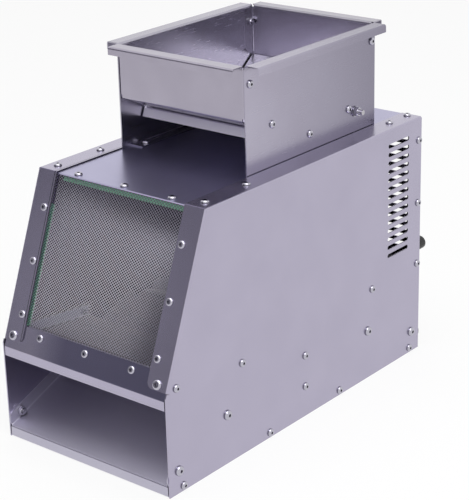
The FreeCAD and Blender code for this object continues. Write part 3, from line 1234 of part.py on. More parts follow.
def build():
    os.makedirs("parts", exist_ok=True)
    panel = side_panel()
    export("right_side_panel", panel)
    export("left_side_panel", mirrored(panel))
    export("top_plate", top_plate())
    export("base_plate", base_plate())
    export("rear_panel", rear_panel())
    export("front_crossbar", front_crossbar())
    export("screen_spacers", screen_spacers())
    export("front_mesh", front_mesh())
    export("mesh_gasket", mesh_gasket())
    export("front_chute", front_chute())
    export("rear_chute", rear_chute())
    export("centre_divider", centre_divider())
    export("chaff_shelf", chaff_shelf())
    export("fan_bay_floor", fan_bay_floor())
    export("fan_bulkhead", fan_bulkhead())
    export("fan_frame", fan_frame())
    export("fan_bearings", fan_bearings())
    export("fan_stator", fan_stator())
    export("fan_rotor", fan_rotor())
    export("fan_shaft", fan_shaft())
    export("fan_guard", fan_guard())
    export("fan_bolts", screws(FAN_STATIONS))
    export("fan_nuts", hex_nuts(FAN_STATIONS))
    export("potentiometer", potentiometer())
    export("potentiometer_nut", potentiometer_nut())
    export("potentiometer_shaft", potentiometer_shaft())
    export("speed_knob", speed_knob())
    export("power_inlet", power_inlet())
    export("inlet_screws", screws(INLET_STATIONS))
    export("inlet_nuts", hex_nuts(INLET_STATIONS))
    export("power_switch", power_switch())
    export("power_rocker", power_rocker())
    export("control_board", control_board())
    export("board_components", board_components())
    export("board_standoffs", board_standoffs())
    export("board_screws", screws(BOARD_STATIONS))
    export("board_nuts", hex_nuts(BOARD_STATIONS))
    export("bay_wiring", fan_leads())
    export("hopper_front_wall", hopper_front_wall())
    export("hopper_rear_wall", hopper_rear_wall())
    wall = hopper_side_wall()
    export("hopper_right_wall", wall)
    export("hopper_left_wall", mirrored(wall))
    export("hopper_feed_plate", hopper_feed_plate())
    export("hopper_rear_slope", hopper_rear_slope())
    export("feed_gate", feed_gate())
    export("gate_shaft", gate_shaft())
    export("gate_washers", gate_washers())
    export("gate_nuts", gate_nuts())
    export("hopper_screws", screws(HOPPER_STATIONS))
    export("hopper_nuts", hex_nuts(HOPPER_STATIONS))
    export("hopper_foot_screws", screws(FOOT_STATIONS, clinch=True))
    export("side_screws", screws(SIDE_STATIONS, clinch=True))
    export("side_clinch_nuts", clinch_nuts(SIDE_STATIONS))
    export("chute_bolts", screws(CHUTE_STATIONS))
    export("chute_nuts", hex_nuts(CHUTE_STATIONS))
    export("corner_bolts", screws(CORNER_STATIONS))
    export("corner_nuts", hex_nuts(CORNER_STATIONS))
    front_stations = MESH_STATIONS + CROSSBAR_STATIONS
    export("mesh_screws", screws(front_stations, clinch=True))
    top_stations = TOP_STATIONS + FRONT_ROW_STATIONS + REAR_ROW_STATIONS + BULKHEAD_STATIONS
    export("top_screws", screws(top_stations, clinch=True))
    export("top_clinch_nuts", clinch_nuts(top_stations + front_stations + FOOT_STATIONS))


build()
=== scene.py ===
import math

import bmesh
import bpy
from mathutils import Matrix, Vector


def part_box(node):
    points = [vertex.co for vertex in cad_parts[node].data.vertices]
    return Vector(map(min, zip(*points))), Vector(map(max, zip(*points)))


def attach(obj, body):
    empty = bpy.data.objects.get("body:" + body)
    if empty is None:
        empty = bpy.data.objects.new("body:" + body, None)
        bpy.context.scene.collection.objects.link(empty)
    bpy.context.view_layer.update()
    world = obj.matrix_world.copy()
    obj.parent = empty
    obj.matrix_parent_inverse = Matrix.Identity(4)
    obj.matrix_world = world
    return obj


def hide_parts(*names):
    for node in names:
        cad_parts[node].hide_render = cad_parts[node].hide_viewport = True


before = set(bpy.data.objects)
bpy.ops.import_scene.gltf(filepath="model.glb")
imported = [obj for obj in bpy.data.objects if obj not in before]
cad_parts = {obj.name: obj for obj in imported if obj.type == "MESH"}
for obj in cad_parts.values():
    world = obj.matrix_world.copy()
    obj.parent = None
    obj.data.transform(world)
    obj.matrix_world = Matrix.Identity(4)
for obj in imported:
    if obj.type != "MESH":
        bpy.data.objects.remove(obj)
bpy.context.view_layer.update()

# The camera stands in front of the machine's right corner and looks down at it a little.
# Its place, turn and focal length come from the screw heads and panel edges in the photograph.
CAMERA_PLACE = Vector((0.9315, -1.1066, 0.7052))
AZIMUTH, ELEVATION, ROLL = math.radians(39.58), math.radians(21.1), math.radians(-1.51)
FOCAL_PIXELS, FRAME_HEIGHT, SENSOR = 1611.8, 500.0, 36.0

level = math.cos(ELEVATION)
ahead = Vector((-math.sin(AZIMUTH) * level, math.cos(AZIMUTH) * level, -math.sin(ELEVATION)))
rightward = Vector((math.cos(AZIMUTH), math.sin(AZIMUTH), 0))
upward = rightward.cross(ahead)
turned_right = rightward * math.cos(ROLL) + upward * math.sin(ROLL)
turned_up = upward * math.cos(ROLL) - rightward * math.sin(ROLL)
bpy.ops.object.select_all(action="DESELECT")
bpy.ops.object.camera_add()
camera = bpy.context.object
camera.name = "camera"
camera.data.sensor_fit = "VERTICAL"
camera.data.sensor_height = SENSOR
camera.data.lens = SENSOR * FOCAL_PIXELS / FRAME_HEIGHT
turn = Matrix((turned_right, turned_up, -ahead)).transposed()
camera.matrix_world = Matrix.Translation(CAMERA_PLACE) @ turn.to_4x4()
bpy.context.scene.camera = camera
bpy.context.scene.view_settings.view_transform = "Standard"


# Base tray and front chute: 1.2 mm stainless sheet, folded and bolted to the side panels.
# The sheet comes from the mill with a satin grain, dull enough to blur what it mirrors.
# Further into the chute, under the shelf and crossbar, the floor is painted darker as shade.
CLOUD_MM, LINE_MM, LINE_STRETCH = 45.0, 0.6, 40
LINE_GLOSS, LINE_STRENGTH, LINE_DEPTH = 0.004, 0.007, 0.00001
SHADE_START, SHADE_FULL = -0.11, -0.08


def linear(code):
    """An sRGB hex colour as the linear colour that a shader takes."""
    channels = [int(code[i:i + 2], 16) / 255 for i in (1, 3, 5)]
    return tuple(c / 12.92 if c <= 0.04045 else ((c + 0.055) / 1.055) ** 2.4 for c in channels) + (1,)


def add(material, kind, values=None, links=None, **settings):
    """Adds a node to a material, sets its sockets and settings, and joins the sockets in links."""
    node = material.node_tree.nodes.new(kind)
    for name, value in settings.items():
        setattr(node, name, value)
    for socket, value in (values or {}).items():
        node.inputs[socket].default_value = value
    for socket, source in (links or {}).items():
        material.node_tree.links.new(source, node.inputs[socket])
    return node


def finish(name, colour, metallic, roughness, ior=None):
    """A material with its shader set to one colour and gloss; a metal keeps the default IOR."""
    material = bpy.data.materials.new(name)
    material.use_nodes = True
    shader = material.node_tree.nodes["Principled BSDF"]
    shader.inputs["Base Color"].default_value = linear(colour)
    shader.inputs["Metallic"].default_value = metallic
    shader.inputs["Roughness"].default_value = roughness
    if ior:
        shader.inputs["IOR"].default_value = ior
    return material, shader


def satin_sheet(name, dark, pale, roughness, grain):
    """Satin stainless: grain lines along one axis, and faint clouds left by handling.

    The real lines are about 0.05 mm apart, too fine to show, so they are drawn LINE_MM apart.
    """
    material, shader = finish(name, pale, 1.0, roughness)
    link = material.node_tree.links.new
    place = add(material, "ShaderNodeTexCoord").outputs["Object"]
    clouds = add(material, "ShaderNodeTexNoise", {"Scale": 1000 / CLOUD_MM, "Detail": 3.0},
                 {"Vector": place})
    shade = add(material, "ShaderNodeMapRange", {"From Min": 0.3, "From Max": 0.7},
                {"Value": clouds.outputs["Fac"]})
    tone = add(material, "ShaderNodeMix", {"A": linear(dark), "B": linear(pale)},
               {"Factor": shade.outputs["Result"]}, data_type="RGBA")
    link(tone.outputs[2], shader.inputs["Base Color"])
    drawn_out = [1 / LINE_STRETCH if axis == grain else 1 for axis in "xyz"]
    along = add(material, "ShaderNodeMapping", {"Scale": drawn_out}, {"Vector": place})
    lines = add(material, "ShaderNodeTexNoise", {"Scale": 1000 / LINE_MM, "Detail": 2.0},
                {"Vector": along.outputs["Vector"]})
    gloss = add(material, "ShaderNodeMapRange",
                {"From Min": 0.3, "From Max": 0.7,
                 "To Min": roughness - LINE_GLOSS, "To Max": roughness + LINE_GLOSS},
                {"Value": lines.outputs["Fac"]})
    link(gloss.outputs["Result"], shader.inputs["Roughness"])
    relief = add(material, "ShaderNodeBump", {"Strength": LINE_STRENGTH, "Distance": LINE_DEPTH},
                 {"Height": lines.outputs["Fac"]})
    link(relief.outputs["Normal"], shader.inputs["Normal"])
    return material


def darken_by_mask(material, colour, where):
    """Lays a darker tone over a patterned finish, as far as a mask between 0 and 1 says; here mostly as
    painted shade.
    """
    shader = material.node_tree.nodes["Principled BSDF"]
    clean = shader.inputs["Base Color"].links[0].from_socket
    tone = add(material, "ShaderNodeMix", {"B": linear(colour)}, {"Factor": where, "A": clean},
               data_type="RGBA")
    material.node_tree.links.new(tone.outputs[2], shader.inputs["Base Color"])


def dress(material, *names):
    """Gives a finish to CAD nodes that keep their own shape."""
    for name in names:
        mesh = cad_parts[name].data
        mesh.materials.clear()
        mesh.materials.append(material)


dress(satin_sheet("satin stainless, folded tray", "#BCB9C9", "#C1BECD", 0.44, "x"), "base_plate")
chute_steel = satin_sheet("satin stainless, painted shade further in", "#BCB9C9", "#C1BECD", 0.44, "x")
spot = add(chute_steel, "ShaderNodeSeparateXYZ", None,
           {0: add(chute_steel, "ShaderNodeTexCoord").outputs["Object"]})
# Painted shade: the chute floor turns darker further in, under the shelf and crossbar.
painted_shade_further_in = add(chute_steel, "ShaderNodeMapRange", {"From Min": SHADE_START, "From Max": SHADE_FULL},
            {"Value": spot.outputs["Y"]})
darken_by_mask(chute_steel, "#4E4C55", painted_shade_further_in.outputs["Result"])
dress(chute_steel, "front_chute")


# Side panels: one folded stainless sheet each, brushed along the machine, with punched vent slots.
# The brushing gives long soft reflections. The cut edge beside the mesh is painted nearly black
# as a shadow line, and the wind chamber's wall is painted darker inside as shade.
FLANGE_EDGE, SHADOW_LINE_WIDTH = -0.0785, 0.0003
CHAMBER_FLOOR, CHAMBER_START = 0.1, -0.08
dress(satin_sheet("satin stainless, side panel", "#AFAABD", "#B3AEC1", 0.26, "y"), "right_side_panel")
left_steel = satin_sheet("satin stainless, painted shadow edge and chamber shade", "#AFAABD", "#B3AEC1", 0.26, "y")
spot = add(left_steel, "ShaderNodeSeparateXYZ", None,
           {0: add(left_steel, "ShaderNodeTexCoord").outputs["Object"]})
facing = add(left_steel, "ShaderNodeSeparateXYZ", None,
             {0: add(left_steel, "ShaderNodeNewGeometry").outputs["True Normal"]})
# Painted shadow: a thin nearly black line along the flange's edge beside the mesh.
painted_shadow_edge = add(left_steel, "ShaderNodeMath", {1: FLANGE_EDGE, 2: SHADOW_LINE_WIDTH}, {0: spot.outputs["X"]},
            operation="COMPARE")
darken_by_mask(left_steel, "#3A3840", painted_shadow_edge.outputs[0])
# Painted shade: the panel's inner face is darker inside the wind chamber.
inside = add(left_steel, "ShaderNodeMath", {1: 0.5}, {0: facing.outputs["X"]}, operation="GREATER_THAN")
high = add(left_steel, "ShaderNodeMath", {1: CHAMBER_FLOOR}, {0: spot.outputs["Z"]},
           operation="GREATER_THAN")
rearward = add(left_steel, "ShaderNodeMath", {1: CHAMBER_START}, {0: spot.outputs["Y"]},
               operation="GREATER_THAN")
beyond = add(left_steel, "ShaderNodeMath", None, {0: high.outputs[0], 1: rearward.outputs[0]},
             operation="MAXIMUM")
chamber = add(left_steel, "ShaderNodeMath", None, {0: inside.outputs[0], 1: beyond.outputs[0]},
              operation="MULTIPLY")
darken_by_mask(left_steel, "#64626D", chamber.outputs[0])
dress(left_steel, "left_side_panel")


# Wind chamber: fan bay floor, bulkhead, divider and rear chute, folded and screwed to the panels.
# The stainless is painted dark here as the chamber's shade, so the chamber looks dark through the mesh.
chamber_shade_steel = satin_sheet("stainless painted dark as chamber shade", "#53515A", "#5A5861", 0.5, "x")
dress(chamber_shade_steel, "fan_bay_floor", "fan_bulkhead", "centre_divider")
# Painted shade: the rear chute is drawn darker than the other sheets.
dress(satin_sheet("stainless painted darker as rear chute shade", "#6E6C76", "#74727C", 0.5, "x"), "rear_chute")


# Chaff shelf: folded stainless sheet under the mesh, screwed to the panels through its flanges.
# Its top is painted dark as shade, so it looks dark behind the mesh; its lip is satin.
shelf_steel = satin_sheet("stainless, satin lip and top painted dark with shade", "#DAD7E2", "#DEDBE6", 0.48, "x")
facing = add(shelf_steel, "ShaderNodeSeparateXYZ", None,
             {0: add(shelf_steel, "ShaderNodeNewGeometry").outputs["True Normal"]})
# Painted shade: the shelf's upward faces are darker.
painted_top_shade = add(shelf_steel, "ShaderNodeMath", {1: 0.5}, {0: facing.outputs["Z"]}, operation="GREATER_THAN")
darken_by_mask(shelf_steel, "#35343A", painted_top_shade.outputs[0])
dress(shelf_steel, "chaff_shelf")


# Axial fan: glass-filled PBT housing and rotor, moulded; the fine spark grain of the tool gives
# a soft sheen. The motor's core stands in the hub, wound with glossy varnished copper.
# Shafts and bearings are ground steel, bright with fine lines round them.
WINDING_PITCH, WINDING_DEPTH = 0.002618, 0.0002
GRIND_MM, GRIND_STRETCH = 0.4, 12


def moulded(name, colour, roughness, grain_mm, depth):
    """Moulded plastic with a sparked grain, drawn coarse enough to show."""
    material, shader = finish(name, colour, 0.0, roughness, 1.53)
    link = material.node_tree.links.new
    grain = add(material, "ShaderNodeTexNoise", {"Scale": 1000 / grain_mm, "Detail": 2.0},
                {"Vector": add(material, "ShaderNodeTexCoord").outputs["Object"]})
    gloss = add(material, "ShaderNodeMapRange",
                {"From Min": 0.3, "From Max": 0.7, "To Min": roughness - 0.06, "To Max": roughness + 0.08},
                {"Value": grain.outputs["Fac"]})
    link(gloss.outputs["Result"], shader.inputs["Roughness"])
    relief = add(material, "ShaderNodeBump", {"Strength": 0.3, "Distance": depth},
                 {"Height": grain.outputs["Fac"]})
    link(relief.outputs["Normal"], shader.inputs["Normal"])
    return material


fan_plastic = moulded("black glass-filled PBT, fine grain", "#1C1C1F", 0.45, 0.5, 0.00003)
dress(fan_plastic, "fan_frame", "fan_rotor")

winding, shader = finish("varnished copper winding", "#8A4B2C", 1.0, 0.3)
turns = add(winding, "ShaderNodeTexWave",
            {"Scale": math.pi / 10 / WINDING_PITCH, "Distortion": 0.6, "Detail": 1.0},
            {"Vector": add(winding, "ShaderNodeTexCoord").outputs["Object"]}, bands_direction="Y")
shades = add(winding, "ShaderNodeMix", {"A": linear("#5E2F1B"), "B": linear("#A9643B")},
             {"Factor": turns.outputs["Fac"]}, data_type="RGBA")
winding.node_tree.links.new(shades.outputs[2], shader.inputs["Base Color"])
relief = add(winding, "ShaderNodeBump", {"Strength": 0.5, "Distance": WINDING_DEPTH},
             {"Height": turns.outputs["Fac"]})
winding.node_tree.links.new(relief.outputs["Normal"], shader.inputs["Normal"])
dress(winding, "fan_stator")

ground_steel, shader = finish("ground steel shafts and bearings", "#B9B7BC", 1.0, 0.2)
along = add(ground_steel, "ShaderNodeMapping", {"Scale": (1, 1 / GRIND_STRETCH, 1)},
            {"Vector": add(ground_steel, "ShaderNodeTexCoord").outputs["Object"]})
marks = add(ground_steel, "ShaderNodeTexNoise", {"Scale": 1000 / GRIND_MM, "Detail": 1.0},
            {"Vector": along.outputs["Vector"]})
gloss = add(ground_steel, "ShaderNodeMapRange",
            {"From Min": 0.3, "From Max": 0.7, "To Min": 0.15, "To Max": 0.28},
            {"Value": marks.outputs["Fac"]})
ground_steel.node_tree.links.new(gloss.outputs["Result"], shader.inputs["Roughness"])
dress(ground_steel, "fan_shaft", "fan_bearings", "gate_shaft", "potentiometer_shaft")


# Top plate: flat stainless sheet under the panels' flanges, cleaner than the panels and with a
# bluer cast, so that it mirrors the hopper's opening and the screws beside it.
dress(satin_sheet("satin stainless, top plate", "#ABA8C4", "#AFACC8", 0.3, "y"), "top_plate")


# Crossbar at the knee and the spacers behind the mesh: narrow folded stainless strips, screwed
# on and brushed across, which spreads reflections along them.
# The crossbar's slope is drawn darker from near its left end on.
DARKER_START, DARKER_FULL = -0.065, -0.025
cross_steel = satin_sheet("satin stainless, brushed across", "#AFAABD", "#B3AEC1", 0.26, "x")
dress(cross_steel, "screen_spacers")
bar_steel = satin_sheet("satin stainless, slope drawn darker", "#AFAABD", "#B3AEC1", 0.26, "x")
spot = add(bar_steel, "ShaderNodeSeparateXYZ", None,
           {0: add(bar_steel, "ShaderNodeTexCoord").outputs["Object"]})
facing = add(bar_steel, "ShaderNodeSeparateXYZ", None,
             {0: add(bar_steel, "ShaderNodeNewGeometry").outputs["True Normal"]})
slope = add(bar_steel, "ShaderNodeMath", {1: 0.1}, {0: facing.outputs["Z"]}, operation="GREATER_THAN")
across = add(bar_steel, "ShaderNodeMapRange", {"From Min": DARKER_START, "From Max": DARKER_FULL},
             {"Value": spot.outputs["X"]})
darker_slope_part = add(bar_steel, "ShaderNodeMath", None, {0: slope.outputs[0], 1: across.outputs["Result"]},
              operation="MULTIPLY")
darken_by_mask(bar_steel, "#807D95", darker_slope_part.outputs[0])
dress(bar_steel, "front_crossbar")


# Front mesh: fine stainless sheet, pierced in staggered rows and pressed so that the metal between
# the holes stands up in small bright points that catch the light; the border is plain.
# It is held under the panels' flanges, and its top is folded down behind the top plate.
SLANT_RUN, SLANT_RISE, KNEE = 0.0606, 0.154, 0.096
SLANT = math.atan2(SLANT_RUN, SLANT_RISE)
HOLE_STEP_ACROSS, HOLE_STEP_UP, HOLE_SHARE, HOLE_ROUNDING = 0.001695, 0.00141, 0.61, 0.086
POINT_HEIGHT, POINT_LEAN = 0.00011, 0.26
MESH_DEPTH, MESH_THICKNESS, STRAND_THICKNESS = 0.0027, 0.0008, 0.00025
HOLES_START, HOLES_END, HALF_HOLES = 0.0214, 0.1638, 0.0814
BOLT_RELIEF, TOP_FOLD, SIDE_GAP = 0.0155, 0.014, 0.0002
NEAR = 0.00001
mesh_low, mesh_high = (Vector(corner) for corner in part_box("front_mesh"))
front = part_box("right_side_panel")[0][1]

# A grid with one square for each step of the pattern: every second inner corner becomes a hole,
# and the corners between stand up. Until it is scaled, a step is one unit long.
bpy.ops.object.select_all(action="DESELECT")
columns = 2 * round(HALF_HOLES / HOLE_STEP_ACROSS)
rows = round((HOLES_END - HOLES_START) / HOLE_STEP_UP)
bpy.ops.mesh.primitive_grid_add(x_subdivisions=columns, y_subdivisions=rows, size=1)
sieve = bpy.context.object
sieve.name = "pierced_mesh"
bpy.ops.object.mode_set(mode="EDIT")
bpy.ops.transform.resize(value=(columns, rows, 1))
bpy.ops.transform.translate(value=(columns / 2, rows / 2, 0))
bpy.ops.mesh.select_mode(type="VERT")
bpy.ops.mesh.select_all(action="DESELECT")
grid = bmesh.from_edit_mesh(sieve.data)
for vertex in grid.verts:
    column, row = round(vertex.co.x), round(vertex.co.y)
    if 0 < column < columns and 0 < row < rows:
        if (column + row) % 2 == 0:
            vertex.select = True
        else:
            vertex.co.z = POINT_HEIGHT
bmesh.update_edit_mesh(sieve.data)
bpy.ops.mesh.bevel(offset=HOLE_SHARE, segments=2, profile=HOLE_ROUNDING, affect="VERTICES")
bpy.ops.mesh.delete(type="ONLY_FACE")
grid = bmesh.from_edit_mesh(sieve.data)
for vertex in grid.verts:
    point = Vector((round(vertex.co.x), round(vertex.co.y), POINT_HEIGHT))
    if (vertex.co - point).length > POINT_HEIGHT / 2:
        vertex.co.z = 0
    else:
        vertex.co.y += POINT_LEAN
bmesh.update_edit_mesh(sieve.data)
bpy.ops.mesh.select_all(action="SELECT")
bpy.ops.mesh.delete_loose()
bpy.ops.mesh.select_all(action="SELECT")
bpy.ops.transform.translate(value=(-columns / 2, 0, 0))
bpy.ops.transform.resize(value=(HOLE_STEP_ACROSS, HOLE_STEP_UP, 1), center_override=(0, 0, 0))
bpy.ops.transform.translate(value=(0, HOLES_START, 0))


def border(piece, chooses, way):
    """Extrudes the rim's edges whose both ends are chosen, and moves them."""
    bpy.ops.mesh.select_mode(type="EDGE")
    bpy.ops.mesh.select_all(action="DESELECT")
    shell = bmesh.from_edit_mesh(piece.data)
    for edge in shell.edges:
        edge.select = edge.is_boundary and all(chooses(vertex.co) for vertex in edge.verts)
    bmesh.update_edit_mesh(piece.data)
    bpy.ops.mesh.extrude_edges_move(TRANSFORM_OT_translate={"value": way})


reach = columns * HOLE_STEP_ACROSS / 2
half_sheet = mesh_high.x - SIDE_GAP
holes_top = HOLES_START + rows * HOLE_STEP_UP
sheet_top = (mesh_high.z - KNEE + MESH_DEPTH * math.sin(SLANT)) / math.cos(SLANT)
sheet_bottom = (mesh_low.z - KNEE + (MESH_DEPTH + MESH_THICKNESS) * math.sin(SLANT)) / math.cos(SLANT)
fold = (0, TOP_FOLD * math.sin(SLANT), -TOP_FOLD * math.cos(SLANT))
border(sieve, lambda p: p.x < NEAR - reach, (reach - half_sheet, 0, 0))
border(sieve, lambda p: p.x > reach - NEAR, (half_sheet - reach, 0, 0))
border(sieve, lambda p: p.y > holes_top - NEAR, (0, sheet_top - holes_top, 0))
border(sieve, lambda p: p.y < HOLES_START + NEAR, (0, BOLT_RELIEF - HOLES_START, 0))
border(sieve, lambda p: p.y < BOLT_RELIEF + NEAR and abs(p.x) < reach + NEAR,
       (0, sheet_bottom - BOLT_RELIEF, 0))
border(sieve, lambda p: p.y > sheet_top - NEAR, fold)
bpy.ops.mesh.select_all(action="SELECT")
bpy.ops.mesh.normals_make_consistent(inside=False)
bpy.ops.object.mode_set(mode="OBJECT")
bpy.ops.object.modifier_add(type="SOLIDIFY")
sieve.modifiers["Solidify"].thickness = STRAND_THICKNESS
sieve.modifiers["Solidify"].offset = -1
bpy.ops.object.modifier_apply(modifier="Solidify")
bpy.ops.object.shade_smooth_by_angle(angle=math.radians(40))
behind = Vector((0, MESH_DEPTH * math.cos(SLANT), -MESH_DEPTH * math.sin(SLANT)))
on_slant = Matrix.Translation(Vector((0, front, KNEE)) + behind)
on_slant = on_slant @ Matrix.Rotation(math.pi / 2 - SLANT, 4, "X")
sieve.matrix_world = on_slant
bpy.ops.object.transform_apply(location=True, rotation=True, scale=True)

# The press leaves the strands smooth and glossy, a little uneven over a step or so.
PRESSWORK_MM = 0.9
strand_steel, shader = finish("pierced stainless, pressed bright", "#DEDCE5", 1.0, 0.1)
presswork = add(strand_steel, "ShaderNodeTexNoise", {"Scale": 1000 / PRESSWORK_MM, "Detail": 2.0},
                {"Vector": add(strand_steel, "ShaderNodeTexCoord").outputs["Object"]})
gloss = add(strand_steel, "ShaderNodeMapRange",
            {"From Min": 0.3, "From Max": 0.7, "To Min": 0.08, "To Max": 0.12},
            {"Value": presswork.outputs["Fac"]})
strand_steel.node_tree.links.new(gloss.outputs["Result"], shader.inputs["Roughness"])
sieve.data.materials.append(strand_steel)
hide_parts("front_mesh")
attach(sieve, "cabinet")


# Gasket: green sponge rubber in three strips with rounded cut edges, glued behind the mesh, two
# down the sides and one along the top; matt, with open pores that are paler where it is rubbed.
# Each strip has its middle across the machine, its width, and its start and end up the slope.
LEFT_STRIP = (-0.079, 0.0088, 0.015, 0.1355)
RIGHT_STRIP = (0.083, 0.005, 0.015, 0.1575)
TOP_STRIP = (0.0045, 0.149, 0.1585, 0.1628)
GASKET_THICKNESS, GASKET_EDGE = 0.0015, 0.0004
PORE_MM, PORE_DEPTH = 0.8, 0.0002

bpy.ops.object.select_all(action="DESELECT")
strips = []
for middle, width, start, end in (LEFT_STRIP, RIGHT_STRIP, TOP_STRIP):
    seat = (middle, (start + end) / 2, -MESH_THICKNESS - GASKET_THICKNESS / 2)
    bpy.ops.mesh.primitive_cube_add(size=1, location=seat)
    strip = bpy.context.object
    strip.scale = (width, end - start, GASKET_THICKNESS)
    bpy.ops.object.transform_apply(location=True, rotation=True, scale=True)
    bpy.ops.object.modifier_add(type="BEVEL")
    strip.modifiers["Bevel"].width = GASKET_EDGE
    strip.modifiers["Bevel"].segments = 3
    bpy.ops.object.modifier_apply(modifier="Bevel")
    strips.append(strip)
for strip in strips:
    strip.select_set(True)
bpy.ops.object.join()
gasket = bpy.context.object
gasket.name = "gasket_strips"
gasket.matrix_world = on_slant
bpy.ops.object.transform_apply(location=True, rotation=True, scale=True)

rubber, shader = finish("green sponge rubber", "#3F8A5C", 0.0, 0.75, 1.52)
pores = add(rubber, "ShaderNodeTexNoise", {"Scale": 1000 / PORE_MM, "Detail": 3.0},
            {"Vector": add(rubber, "ShaderNodeTexCoord").outputs["Object"]})
spread = add(rubber, "ShaderNodeMapRange", {"From Min": 0.3, "From Max": 0.7},
             {"Value": pores.outputs["Fac"]})
tint = add(rubber, "ShaderNodeMix", {"A": linear("#3C8A5B"), "B": linear("#74C79A")},
           {"Factor": spread.outputs["Result"]}, data_type="RGBA")
rubber.node_tree.links.new(tint.outputs[2], shader.inputs["Base Color"])
relief = add(rubber, "ShaderNodeBump", {"Strength": 0.6, "Distance": PORE_DEPTH},
             {"Height": pores.outputs["Fac"]})
rubber.node_tree.links.new(relief.outputs["Normal"], shader.inputs["Normal"])
gasket.data.materials.append(rubber)
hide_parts("mesh_gasket")
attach(gasket, "cabinet")


# Rear panel with its vents, inlet, switch and speed control, held by screws and nuts.
# The panel is the same sheet, brushed across. The electrical parts are moulded thermoplastic with
# a fine grain, so their black has a soft sheen; the knob is smoother and deeper black.
dress(cross_steel, "rear_panel")
housing_plastic = moulded("black nylon housings, fine grain", "#19191B", 0.42, 0.5, 0.00003)
dress(housing_plastic, "power_inlet", "power_switch", "power_rocker", "potentiometer")
dress(moulded("satin black ABS knob", "#0B0B0D", 0.35, 0.35, 0.00002), "speed_knob")


# Marks on the controls: white ink pressed into the knob's groove, and a bar and a ring printed on
# the rocker's two halves for on and off; matt, and a little thin where the plastic shows through.
INK_MM = 0.5
KNOB_LINE, KNOB_LINE_EDGE, KNOB_LINE_RISE = (0.0009, 0.0004, 0.0042), 0.0001, 0.0038
BAR, BAR_EDGE = (0.0006, 0.00016, 0.0028), 0.00005
RING_RADIUS, RING_WIRE, RING_FLATNESS = 0.0012, 0.0003, 0.3
ROCKER_X, ROCKER_Z, ROCKER_PROUD = 0.03, 0.126, 0.001
ROCKER_TILT, ROCKER_SLOPE = math.radians(9), math.radians(8.75)
MARK_PROUD, MARK_RISE = 0.002, 0.0039
ink, shader = finish("matt white marking ink", "#E4E3DE", 0.0, 0.6)
cover = add(ink, "ShaderNodeTexNoise", {"Scale": 1000 / INK_MM, "Detail": 2.0},
            {"Vector": add(ink, "ShaderNodeTexCoord").outputs["Object"]})
tint = add(ink, "ShaderNodeMix", {"A": linear("#CFCEC9"), "B": linear("#ECEBE7")},
           {"Factor": cover.outputs["Fac"]}, data_type="RGBA")
ink.node_tree.links.new(tint.outputs[2], shader.inputs["Base Color"])
knob_low, knob_high = (Vector(corner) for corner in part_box("speed_knob"))
knob_middle = (knob_low + knob_high) / 2
rocker_seat = Vector((ROCKER_X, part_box("rear_panel")[1][1] + ROCKER_PROUD, ROCKER_Z))


def inked_bar(size, edge):
    """A flat bar of ink with its edges rounded."""
    bpy.ops.object.select_all(action="DESELECT")
    bpy.ops.mesh.primitive_cube_add(size=1)
    bpy.context.object.scale = size
    bpy.ops.object.transform_apply(location=False, rotation=False, scale=True)
    bpy.ops.object.modifier_add(type="BEVEL")
    bpy.context.object.modifiers["Bevel"].width = edge
    bpy.ops.object.modifier_apply(modifier="Bevel")


def set_mark(name, body, place):
    """Sets the last mark in its place, inks it and ties it to the moving piece."""
    mark = bpy.context.object
    mark.name = name
    mark.matrix_world = place @ mark.matrix_world
    bpy.ops.object.transform_apply(location=True, rotation=True, scale=True)
    mark.data.materials.append(ink)
    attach(mark, body)


inked_bar(KNOB_LINE, KNOB_LINE_EDGE)
groove = (knob_middle.x, knob_high.y - KNOB_LINE[1], knob_middle.z + KNOB_LINE_RISE)
set_mark("knob_mark", "knob", Matrix.Translation(groove))

on_rocker = Matrix.Translation(rocker_seat) @ Matrix.Rotation(ROCKER_TILT, 4, "X")
upper = Matrix.Translation((0, MARK_PROUD, MARK_RISE)) @ Matrix.Rotation(-ROCKER_SLOPE, 4, "X")
lower = Matrix.Translation((0, MARK_PROUD, -MARK_RISE)) @ Matrix.Rotation(ROCKER_SLOPE, 4, "X")
inked_bar(BAR, BAR_EDGE)
set_mark("on_mark", "rocker", on_rocker @ upper)
bpy.ops.object.select_all(action="DESELECT")
bpy.ops.mesh.primitive_torus_add(major_segments=32, minor_segments=8, major_radius=RING_RADIUS,
                                 minor_radius=RING_WIRE, rotation=(math.pi / 2, 0, 0))
bpy.ops.object.transform_apply(location=False, rotation=True, scale=False)
bpy.context.object.scale = (1, RING_FLATNESS, 1)
bpy.ops.object.transform_apply(location=False, rotation=False, scale=True)
set_mark("off_mark", "rocker", on_rocker @ lower)


# Control board: green glass-fibre board under glossy solder mask, whose weave shows through, on
# nylon posts, with moulded parts and PVC leads. None of it shows except through the vents.
WEAVE_MM = 1.2
board_green, shader = finish("solder-masked glass-fibre board", "#2E6A41", 0.0, 0.35, 1.55)
weave = add(board_green, "ShaderNodeTexNoise", {"Scale": 1000 / WEAVE_MM, "Detail": 2.0},
            {"Vector": add(board_green, "ShaderNodeTexCoord").outputs["Object"]})
tint = add(board_green, "ShaderNodeMix", {"A": linear("#27603A"), "B": linear("#37784B")},
           {"Factor": weave.outputs["Fac"]}, data_type="RGBA")
board_green.node_tree.links.new(tint.outputs[2], shader.inputs["Base Color"])
dress(board_green, "control_board")
dress(moulded("epoxy-moulded components", "#4A5A70", 0.4, 0.6, 0.00003), "board_components")
dress(moulded("natural nylon posts", "#D9D6CB", 0.4, 0.6, 0.00003), "board_standoffs")
dress(moulded("brown PVC lead insulation", "#4A2C1D", 0.38, 1.5, 0.00004), "bay_wiring")
